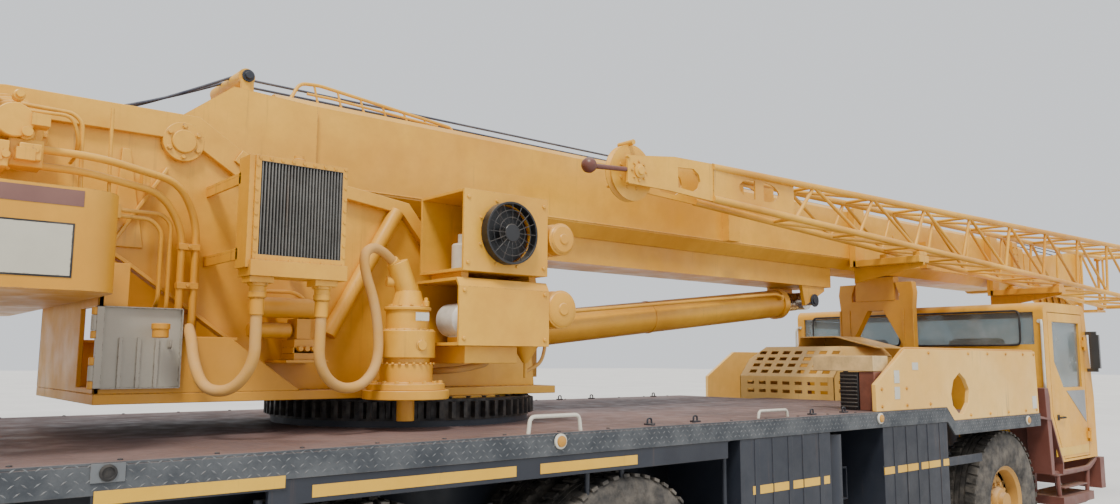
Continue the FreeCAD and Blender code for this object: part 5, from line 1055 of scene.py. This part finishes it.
def box_forms():
    """Two sheet boxes, open on their rear side, with the fan's shroud and guard, a dark disc of painted shade behind
    the fan, filters and canisters.
    """
    rear, front, face, back, wall = -250, 255, -950, -570, 14
    made = Piece()
    rows = (
        # rear X, front X, low Z, high Z, corner cut
        (rear, front - 12, 2020, 2400, 0), (rear - 18, front, 1680, 1990, 42),
    )
    for start, end, low, high, chamfer in rows:
        hole = []
        if not chamfer:
            hole = [[(-6 + 139 * math.cos(n * math.pi / 20), 2208 + 139 * math.sin(n * math.pi / 20))
                     for n in range(40)]]
        made.plate("XZ", [(start, low), (end, low), (end, high - chamfer), (start, high - chamfer)], face,
                   face + wall, holes=hole)
        made.block((start, end), (back - wall, back), (low, high))
        made.block((start, end), (face + wall, back - wall), (low, low + wall))
        made.block((start, end), (face + (24 if chamfer else wall), back - wall), (high - wall, high))
        made.plate("YZ", [(face + wall, low + wall), (back - wall, low + wall), (back - wall, high - wall),
                          (face + wall + (20 if chamfer else 0), high - wall), (face + wall, high - chamfer - wall)]
                   if chamfer else [(face + wall, low + wall), (back - wall, low + wall), (back - wall, high - wall),
                                    (face + wall, high - wall)], end - wall, end)
        if chamfer:
            made.plate("YZ", [(face, high - chamfer), (face + wall, high - chamfer), (face + 30, high - wall),
                              (face + 24, high)], start, end)
    for x in (rear + 30, front - 80):
        made.block((x, x + 40), (face + 60, back - 60), (1990, 2020))
    made.lathe((-6, 0, 2208), "Y", [(139, face - 48), (149, face - 48), (149, face), (139, face)], 48, closed=True)
    for number in range(16):
        way = (math.cos(number * math.pi / 8), math.sin(number * math.pi / 8))
        made.bar((-6 + 40 * way[0], face - 44, 2208 + 40 * way[1]), (-6 + 141 * way[0], face - 44, 2208 + 141 * way[1]),
                 2.4, 6)
    for radius in (74, 108):
        made.lathe((-6, face - 44, 2208), "Y", [(radius - 2, -2), (radius + 2, -2), (radius + 2, 2), (radius - 2, 2)],
                   40, closed=True)
    made.lathe((-6, face - 48, 2208), "Y", [(0, 0), (40, 0), (44, 4), (44, 12), (0, 12)], 32)
    for z, radius in ((2215, 78), (1865, 91)):
        made.lathe((345, face + 5, z), "Y", [(0, 0), (radius - 8, 0), (radius, 8), (radius, 215), (0, 215)], 40)
        made.lathe((345, face + 12, z), "Y", [(radius, 0), (radius + 4, 2), (radius + 4, 12), (radius, 14)], 40)
        made.block((front - 20, 285), (face + 120, face + 170), (z - 25, z + 25))
    made.block((-42, 30), (face + 59, back - wall), (2172, 2244))
    # A thin disc right behind the fan, black from the box paint, is painted shade for the box's dark inside.
    made.lathe((-6, -930, 2208), "Y", [(0, 0), (137, 0), (137, 3), (0, 3)], 40)
    made.lathe((188, -850, 1602), "Z", [(0, 0), (14, 0), (62, 78), (0, 78)], 28)
    made.bar((188, -850, 1530), (188, -850, 1604), 9, 12)
    made.lathe((-188, -840, 2034), "Z", [(0, 0), (46, 0), (46, 112), (38, 120), (18, 122), (18, 165), (0, 165)], 28)
    made.lathe((-175, -890, 1800), "Y", [(0, 0), (60, 4), (78, 22), (78, 158), (60, 176), (0, 180)], 36)
    made.block((-205, -145), (-840, -760), (1694, 1740))
    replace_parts(made.done("equipment_box_sheets", "boxes", "superstructure", bevel=2), "equipment_boxes")


def jib_place(x, side, level):
    """A point on one of the jib's four chords."""
    share = (9310 - x) / (9310 - 1700)
    half = 280 + share * (75 - 280)
    return x, -700 + side * half, (2860 + share * (2810 - 2860)) if level > 0 else (2270 + share * (2610 - 2270))


def jib_forms():
    """The lattice jib: four chords, leaning posts, one diagonal a bay, plates and sheave at its tip."""
    made = Piece()
    bays, plate_x = 9, 2530
    pitch = (9310 - plate_x) / bays
    frames = [(9310 - bay * pitch, 9310 - bay * (pitch - 24)) for bay in range(bays + 1)]
    for side in (RIGHT, LEFT):
        for level in (-1, 1):
            made.bar(jib_place(9310, side, level), jib_place(1700, side, level), 24, 14)
        for bay, (low_x, high_x) in enumerate(frames):
            made.bar(jib_place(low_x, side, -1), jib_place(high_x, side, 1), 13, 10)
            if bay:
                made.bar(jib_place(high_x, side, 1), jib_place(frames[bay - 1][0], side, -1), 13, 10)
    for bay in range(1, bays + 1):
        low_x, high_x = frames[bay]
        made.bar(jib_place(low_x, -1, -1), jib_place(low_x, 1, -1), 13, 10)
        made.bar(jib_place(high_x, -1, 1), jib_place(high_x, 1, 1), 13, 10)
        made.bar(jib_place(low_x, 1, -1), jib_place(frames[bay - 1][0], -1, -1), 13, 10)
        made.bar(jib_place(high_x, 1, 1), jib_place(frames[bay - 1][1], -1, 1), 13, 10)
    for side in (RIGHT, LEFT):
        ends = [jib_place(x, side, level)[2] for x in (plate_x, 1700) for level in (-1, 1)]
        middle = (ends[0] + ends[1]) / 2 + 20
        moons = []
        for start, way in ((plate_x - 330, 1), (plate_x - 420, -1)):
            moons.append([(start, middle - 62), (start + way * 70, middle - 60), (start + way * 120, middle - 46),
                          (start + way * 155, middle - 20), (start + way * 165, middle),
                          (start + way * 155, middle + 20), (start + way * 120, middle + 46),
                          (start + way * 70, middle + 60), (start, middle + 62)])
        y = -700 + side * 82
        made.plate("XZ", [(plate_x, ends[0]), (plate_x, ends[1]), (1700, ends[3]), (1700, ends[2])], y - 5, y + 5,
                   holes=moons)
        edge = -700 + side * 75
        made.plate("XZ", [(1760, 2590), (1760, 2830), (1350, 2820), (960, 2770), (960, 2610), (1300, 2610)],
                   edge - 7, edge + 7,
                   holes=[[(1380, 2640), (1520, 2630), (1565, 2660), (1580, 2700), (1565, 2742), (1520, 2770),
                           (1380, 2760)]])
    made.lathe((1050, -700, 2690), "Y", [(20, -25), (165, -25), (165, -20), (148, -4), (148, 4), (165, 20), (165, 25),
                                         (20, 25)], 56, closed=True)
    made.bar((1050, -775, 2690), (1050, -625, 2690), 20, 20)
    for z in (2860, 2270):
        made.bar((9310, -980, z), (9310, -420, z), 24, 14)
        made.block((9290, 9354), (-430, -370), (z - 20, z + 20))
        made.lathe((9350, -350, z - 28), "Z", [(17, 0), (36, 0), (36, 56), (17, 56)], 28, closed=True)
    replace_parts(made.done("jib_lattice", "ochre", "lattice_jib", smooth=40), "lattice_jib")
    arms = Piece()
    for x, low, top, seats in ((4100, 2385, 2472, (-842, -560)), (6600, 2275, 2357, (-910, -490))):
        arms.block((x - 75, x + 75), (-330, -270), (low, 2880))
        arms.block((x - 75, x + 75), (seats[0] - 35, -300), (low, low + 55))
        arms.plate("YZ", [(-270, low + 5), (-270, low - 130), (seats[0] - 35, low - 20), (seats[0] - 35, low + 5)],
                   x - 10, x + 10)
        for y in seats:
            arms.block((x - 55, x + 55), (y - 30, y + 30), (low + 55, top))
    arms.done("jib_bracket_arms", "ochre", "boom_base", bevel=4)


# Superstructure pieces


def pin_covers():
    """Bolted covers and a keeper plate at the boom's hinge, and bolts on the rims."""
    covers = Piece()
    for side in (RIGHT, LEFT):
        y = side * 480
        covers.lathe((-1350, y, 2522), "Y", [(0, side * 12), (46, side * 12), (50, side * 8), (50, side * 1),
                                             (0, side * 1)], 36)
        covers.bolts((-1350, y, 2522), "Y", 66, 6, 9, side * 10, 30)
    covers.done("hinge_covers", "ochre", "superstructure", bevel=1.2)
    keeper = Piece()
    for side in (RIGHT, LEFT):
        y = side * 452
        keeper.block((-1262, -1180), (y, y + side * 12), (2496, 2540))
        keeper.bolts((-1221, y + side * 12, 2518), "Y", 26, 2, 8, side * 9)
    keeper.done("pin_keepers", "ochre", "superstructure", bevel=1.2)


def drive_fittings():
    """Bolts, lifting eye, filler and nameless plate on the slewing drive."""
    x, y = -398, -722
    made = Piece()
    made.bolts((x, y, 1508), "Z", 156, 16, 11, 14)
    made.bolts((x, y, 1595), "Z", 122, 24, 6, 9)
    made.bolts((x, y, 1745), "Z", 116, 20, 6, 8)
    made.bolts((x, y, 1857), "Z", 84, 10, 7, 9)
    made.lathe((x + 60, y - 60, 1857), "Z", [(16, 0), (16, 24), (10, 26), (10, 40), (0, 42)], 16)
    made.lathe((x, y - 129, 1680), "Y", [(0, -10), (22, -10), (22, -3), (28, 0)], 18)
    made.done("drive_fasteners", "ochre", "superstructure", bevel=0.8)
    plate = Piece()
    plate.block((x - 34, x + 34), (y - 132, y - 128), (1788, 1826))
    plate.done("drive_plate", "pale_paint", "superstructure", bevel=0.6)


def cooler_fittings():
    """Hose clamps and nuts on the cooler's stubs, side folds and the core's tubes."""
    clamps = Piece()
    for x in (-1169, -903):
        clamps.lathe((x, -900, 1852), "Z", [(30, 0), (34, 2), (34, 22), (31, 24), (31, 44), (36, 46), (36, 62),
                                            (30, 64)], 24)
        clamps.bolts((x, -900, 1911), "Z", 36, 4, 7, -9, 45)
    clamps.lathe((-1446, -650, 1730), "Z", [(27, -34), (30, -32), (30, -2), (34, 0), (34, 20), (28, 22)], 24)
    clamps.lathe((-1169, -900, 1850), "Z", [(23, -66), (27, -64), (27, -2), (24, 0)], 24)
    clamps.lathe((-903, -900, 1850), "Z", [(23, -66), (27, -64), (27, -2), (24, 0)], 24)
    clamps.done("hose_clamps", "ochre", "superstructure", bevel=0.8)
    frame_bits = Piece()
    for z in (1999, 2395):
        for number in range(9):
            x = -1200 + 45 * number
            frame_bits.lathe((x, -950, z), "Y", [(7, 0), (7, -3), (0, -4)], 8)
    for x in (-1208, -838):
        for number in range(8):
            frame_bits.lathe((x, -950, 2030 + 48 * number), "Y", [(7, 0), (7, -3), (0, -4)], 8)
    frame_bits.lathe((-1020, -895, 2405), "Z", [(26, 0), (26, 14), (20, 18), (20, 30), (0, 32)], 20)
    frame_bits.done("cooler_fasteners", "ochre", "superstructure")


def upper_tubes():
    """Hard tubes round the winch's valves, along the cheek and into the tail, with clamps."""
    tubes = Piece()
    tubes.tube([(-1647, -560, 2590), (-1645, -560, 2400), (-1641, -560, 2215), (-1641, -470, 2150)], 7, 10, 30)
    tubes.tube([(-2200, -600, 2545), (-1790, -600, 2536), (-1757, -600, 2505), (-1744, -580, 2225),
                (-1744, -470, 2180)], 8, 10, 40)
    tubes.tube([(-2150, -640, 2500), (-1800, -640, 2515), (-1770, -620, 2440), (-1765, -560, 2380),
                (-1765, -470, 2370)], 7, 10, 34)
    tubes.tube([(-1760, -470, 2202), (-1600, -512, 2200), (-1430, -512, 2200), (-1392, -512, 2165),
                (-1392, -512, 1800), (-1392, -430, 1760)], 9, 10, 46)
    tubes.tube([(-1760, -470, 2178), (-1600, -518, 2176), (-1470, -518, 2174), (-1428, -518, 2128),
                (-1428, -518, 1840), (-1428, -430, 1800)], 9, 10, 46)
    tubes.tube([(-2240, -560, 2440), (-2180, -700, 2420), (-2080, -712, 2360), (-2020, -650, 2330)], 9, 10, 40)
    tubes.tube([(-2230, -520, 2380), (-2160, -690, 2350), (-2060, -700, 2300), (-1990, -640, 2290)], 9, 10, 40)
    tubes.done("hard_tubes", "ochre", "superstructure")
    clamps = Piece()
    for x, z in ((-1600, 2200), (-1500, 2340)):
        clamps.block((x - 14, x + 14), (-535, -478), (z - 36, z + 18))
    for z in (1900, 2060):
        clamps.block((-1360, -1275), (-530, -488), (z, z + 26))
        clamps.lathe((-1318, -530, z + 13), "Y", [(8, 0), (8, -6), (0, -6)], 6)
    clamps.done("tube_clamps", "ochre", "superstructure", bevel=1.5)


def winch_fittings():
    """Valve bodies, caps, nuts and the rope on the drum."""
    made = Piece()
    x, z = -1990, 2455
    made.bolts((x, -502, z), "Y", 128, 12, 9, -10)
    made.bolts((x, -620, z), "Y", 74, 8, 8, -9)
    for dx, dz, radius, length in ((-120, -60, 24, 60), (-60, -130, 20, 70), (-20, -130, 20, 60), (40, -40, 26, 60),
                                   (70, -100, 18, 50), (-150, 70, 22, 66), (10, 95, 20, 50)):
        made.lathe((x + dx, -690, z + dz), "Y", [(radius, 40), (radius, 0), (radius * 0.7, -4),
                                                 (radius * 0.7, -length * 0.5), (0, -length * 0.5)], 12)
    for dx, dz in ((-60, -130), (40, -120), (80, 10), (-120, 20)):
        made.block((x + dx - 30, x + dx + 30), (-716, -640), (z + dz - 22, z + dz + 22))
    made.done("winch_valves", "ochre", "superstructure", bevel=2)
    rope = Piece()
    radius = 152
    route = []
    turns = 22
    for step in range(turns * 24 + 1):
        turn = 2 * math.pi * step / 24
        y = 180 - 380 * step / (turns * 24)
        route.append(Vector((x + radius * math.sin(turn), y, z + radius * math.cos(turn))))
    rope.sweep(route, [8.5] * len(route), 6)
    rope.done("drum_rope", "rope", "superstructure")


def weight_fittings():
    """The blank sign with its border, the worn strip above it and the lifting eyes."""
    border = Piece()
    sign = Piece()
    strip = Piece()
    for side in (RIGHT, LEFT):
        y = side * 1150
        border.block((-2172, -1862), (y, y + side * 2), (1868, 2042))
        sign.block((-2166, -1868), (y, y + side * 3), (1874, 2036))
        strip.block((-2180, -1840), (y, y + side * 1.5), (2098, 2150))
    border.done("sign_border", "black_trim", "superstructure", bevel=0.5)
    sign.done("blank_sign", "sign_white", "superstructure", bevel=0.5)
    strip.done("worn_strip", "worn_brown", "superstructure", bevel=0.5)
    eyes = Piece()
    for side in (RIGHT, LEFT):
        y = side * 800
        eyes.tube([(-2050, y, 2155), (-2050, y, 2200), (-1970, y, 2200), (-1970, y, 2155)], 13, 10, 26)
    eyes.done("lifting_eyes", "ochre", "superstructure")


def box_fittings():
    """Hinges, latches and rivets on the equipment boxes, and the filters' end caps."""
    made = Piece()
    for z in (2058, 2362):
        for x in (-225, 218):
            made.lathe((x, -950, z), "Y", [(10, 0), (10, -4), (6, -7), (0, -7)], 12)
    for z in (1712, 1930):
        for x in (-240, 228):
            made.lathe((x, -950, z), "Y", [(10, 0), (10, -4), (6, -7), (0, -7)], 12)
    for z, radius in ((2215, 78), (1865, 91)):
        made.lathe((345, -945, z), "Y", [(0, -14), (radius * 0.3, -14), (radius * 0.36, -8), (radius * 0.8, -6),
                                         (radius * 0.93, 2)], 36)
        made.lathe((345, -880, z), "Y", [(radius + 1, 0), (radius + 4, 3), (radius + 4, 21), (radius + 1, 24)], 36)
        made.lathe((345, -800, z), "Y", [(radius + 1, 0), (radius + 4, 3), (radius + 4, 21), (radius + 1, 24)], 36)
    made.bolts((-6, -950, 2208), "Y", 163, 8, 7, -7, 22)
    made.done("box_fasteners", "ochre", "superstructure", bevel=0.8)
    tubes = Piece()
    tubes.tube([(300, -700, 2215), (280, -680, 2080), (290, -690, 1960), (300, -700, 1890)], 11, 10, 60)
    tubes.tube([(258, -860, 1760), (300, -870, 1700), (280, -860, 1600), (188, -850, 1560)], 9, 10, 50)
    tubes.tube([(60, -700, 1682), (60, -720, 1600), (-120, -740, 1570), (-200, -600, 1560)], 16, 10, 60)
    tubes.done("box_tubes", "hose", "superstructure")


# Boom and jib pieces


def ropes():
    """The two hoist ropes: from the drum to the roller, then along the boom's top to its head."""
    rows = (
        # place at the drum, over the roller, lengthwise Y on the boom
        ((-1905, -150, 2590), (-1010, 60), 52),
        ((-1880, 90, 2600), (-1010, -70), -64),
    )
    for number, (start, (roller_x, roller_y), run_y) in enumerate(rows):
        span = Piece()
        end = (roller_x, roller_y, 2983)
        path = [Vector(start).lerp(Vector(end), step / 12) for step in range(13)]
        for step, point in enumerate(path):
            point.z -= 26 * math.sin(math.pi * step / 12)
        span.sweep(path, [6.5] * 13, 8)
        span.done(f"rope_span_{number}", "rope", None,
                  blend=("superstructure", "boom_base", at(*start), at(*end)))
        run = Piece()
        run.sweep([Vector(end), Vector((roller_x + 60, run_y, 2980)), Vector((7240, run_y, 2960))], [6.5] * 3, 8)
        run.done(f"rope_run_{number}", "rope", "boom_base")
        last = Piece()
        last.sweep([Vector((7240, run_y, 2960)), Vector((9080, run_y, 2922))], [6.5] * 2, 8)
        last.done(f"rope_end_{number}", "rope", "boom_head")


def boom_fittings():
    """The low guard rail, weld beads, roller nuts, collar bolts and blank plate of the boom."""
    rail = Piece()
    for y in (-205, 205):
        rail.tube([(-786, y, 2878), (-740, y, 2971), (-640, y, 2980), (140, y, 2902), (160, y, 2878)], 9, 10, 34)
        rail.tube([(-700, y, 2925), (-560, y, 2925), (60, y, 2894)], 7, 10, 30)
        for number in range(6):
            x = -640 + 128 * number
            top = 2976 - 13 * number
            rail.bar((x, y, 2878), (x - 24, y, top), 6, 8)
    rail.done("boom_rail", "ochre", "boom_base")
    beads = Piece()
    for side in (RIGHT, LEFT):
        y = side * 271
        beads.tube([(-760, y, 2440), (-760, y, 2700), (-758, y, 2850)], 5, 6, 20)
        beads.tube([(-870, y, 2462), (3000, y, 2462), (7100, y, 2462)], 4, 6, 20)
        beads.bar((4756, side * 270, 2712), (4756, side * 274, 2712), 26, 20)
        for x in (7150, 7230):
            for number in range(6):
                z = 2470 + 70 * number
                beads.lathe((x, side * 290, z), "Y", [(11, 0), (11, side * 3), (7, side * 3), (7, side * 9),
                                                      (0, side * 9)], 6)
    beads.done("boom_beads", "ochre", "boom_base")
    nuts = Piece()
    for side in (RIGHT, LEFT):
        nuts.lathe((-1000, side * 216, 2950), "Y", [(30, 0), (30, side * 8), (18, side * 8), (18, side * 22),
                                                    (0, side * 22)], 18)
        nuts.lathe((3650, side * 172, 2100), "Y", [(52, 0), (52, side * 10), (30, side * 10), (30, side * 18),
                                                   (0, side * 18)], 20)
    nuts.done("boom_nuts", "dark", "boom_base", bevel=1.2)


def cylinder_fittings():
    """Gland nut, weld rings and ports of the lift cylinder."""
    low, high = Vector((400, 0, 1750)), Vector((3650, 0, 2100))
    way = (high - low).normalized()
    made = Piece()
    for reach, radius, length in ((130, 116, 30), (2960, 122, 60), (1500, 112, 16)):
        start = low + way * reach
        made.bar(start, start + way * length, radius, 36)
    port = low + way * 240 + Vector((0, -108, 40))
    made.bar(port + Vector((0, 30, 0)), port - Vector((0, 40, 0)), 26, 16)
    far = low + way * 2900 + Vector((0, -100, 50))
    made.bar(far + Vector((0, 30, 0)), far - Vector((0, 34, 0)), 22, 16)
    made.tube([tuple(port - Vector((0, 26, 0))), tuple(port + Vector((60, -30, 60))),
               tuple(far + Vector((-80, -32, 20))), tuple(far - Vector((0, 30, 0)))], 12, 10, 50)
    made.done("lift_cylinder_fittings", "ochre", "lift_barrel", bevel=1.2)


def jib_fittings():
    """The tip sheave's hub, bolts and pins, the rope guard and the small frames of the jib."""
    made = Piece()
    x, z = 1050, 2690
    for side in (RIGHT, LEFT):
        y = -700 + side * 82
        made.lathe((x, y, z), "Y", [(0, side * 22), (22, side * 22), (26, side * 14), (40, side * 10), (40, 0)], 24)
        made.bolts((x, y, z), "Y", 56, 8, 7, side * 9)
        made.bolts((x, -700 + side * 25, z), "Y", 96, 8, 9, side * 6, 22)
        made.bar((x - 84, y - side * 14, z + 74), (x - 84, y + side * 8, z + 74), 10)
        made.bar((x - 84, y - side * 14, z - 74), (x - 84, y + side * 8, z - 74), 10)
    made.bar((x - 20, -640, z + 172), (x - 20, -760, z + 172), 16, 14)
    made.bar((x + 150, -640, z + 90), (x + 150, -760, z + 90), 12, 14)
    made.done("jib_sheave_fittings", "ochre", "lattice_jib", bevel=1)
    ball = Piece()
    ball.lathe((668, -780, 2669), "Y", [(0, -44), (22, -38), (38, -22), (44, 0), (38, 22), (22, 38), (0, 44)], 20)
    ball.bar((700, -768, 2672), (960, -768, 2690), 14, 12)
    ball.done("jib_end_ball", "bumper", "lattice_jib")


def cushion(piece, spread, half_u, half_v, start, thick):
    """A soft pad whose far side swells towards the middle, with a seam round its edge."""
    count, power = 72, 12
    levels = ((0.90, 0.0), (0.97, 0.05), (1.0, 0.30), (0.985, 0.42), (1.0, 0.50), (0.99, 0.68), (0.93, 0.80),
              (0.80, 0.92), (0.55, 0.99), (0.25, 1.02))
    rings = []
    for share, rise in levels:
        ring = []
        for number in range(count):
            turn = 2 * math.pi * number / count
            c, s = math.cos(turn), math.sin(turn)
            reach = share * (abs(c) ** power + abs(s) ** power) ** (-1 / power)
            ring.append(spread(half_u * c * reach, half_v * s * reach, start + thick * rise))
        rings.append(ring)
    piece.rings(rings)


def seats():
    """Crowned seat and back pads with seams over the plain seats of both cabs."""
    for name, body, rows in (
        # rear X, front X, middle Y, half width, top Z, back's front line
        ("carrier_seat_pads", "carrier", ((5600, 6040, -560, 230, 1260, (5700, 5640), 112),
                                          (5600, 6040, 560, 230, 1260, (5700, 5640), 112))),
        ("operator_seat_pads", "superstructure", ((160, 600, 880, 220, 1930, (250, 190), 95),)),
    ):
        pads = Piece()
        for rear, front, y, half, top, (foot, head), depth in rows:
            middle = (rear + front) / 2
            cushion(pads, lambda u, v, w: (middle + u, y + v, w), (front - rear) / 2 + 15, half + 18, top - 112, 165)
            run = math.hypot(head - foot, 550)
            along, ahead = ((head - foot) / run, 550 / run), (550 / run, (foot - head) / run)

            def leaning(u, v, w):
                return ((foot + head) / 2 + along[0] * u + ahead[0] * w, y + v,
                        top + 275 + along[1] * u + ahead[1] * w)

            cushion(pads, leaning, run / 2 + 20, half + 12, -depth, depth * 1.5)
        made = pads.done(name, "seat", body, smooth=60)


def dress_nodes():
    """Every carried-over node gets its slot's finish."""
    for row in frame["record"]["subparts"]:
        name = row["node"]
        node = NODES[name]
        node.data.materials.clear()
        node.data.materials.append(FINISHES[row["material_slot"]])


make_camera()
lay_hoses()
make_studio()
dress_nodes()
deck_forms()
panel_forms()
turntable_forms()
winch_forms()
drive_forms()
cooler_forms()
box_forms()
jib_forms()
seats()
deck_edge_bars()
carrier_strips()
deck_fittings()
underside()
wheels()
cab_trim()
panel_fittings()
pin_covers()
drive_fittings()
cooler_fittings()
upper_tubes()
winch_fittings()
weight_fittings()
box_fittings()
ropes()
boom_fittings()
cylinder_fittings()
jib_fittings()
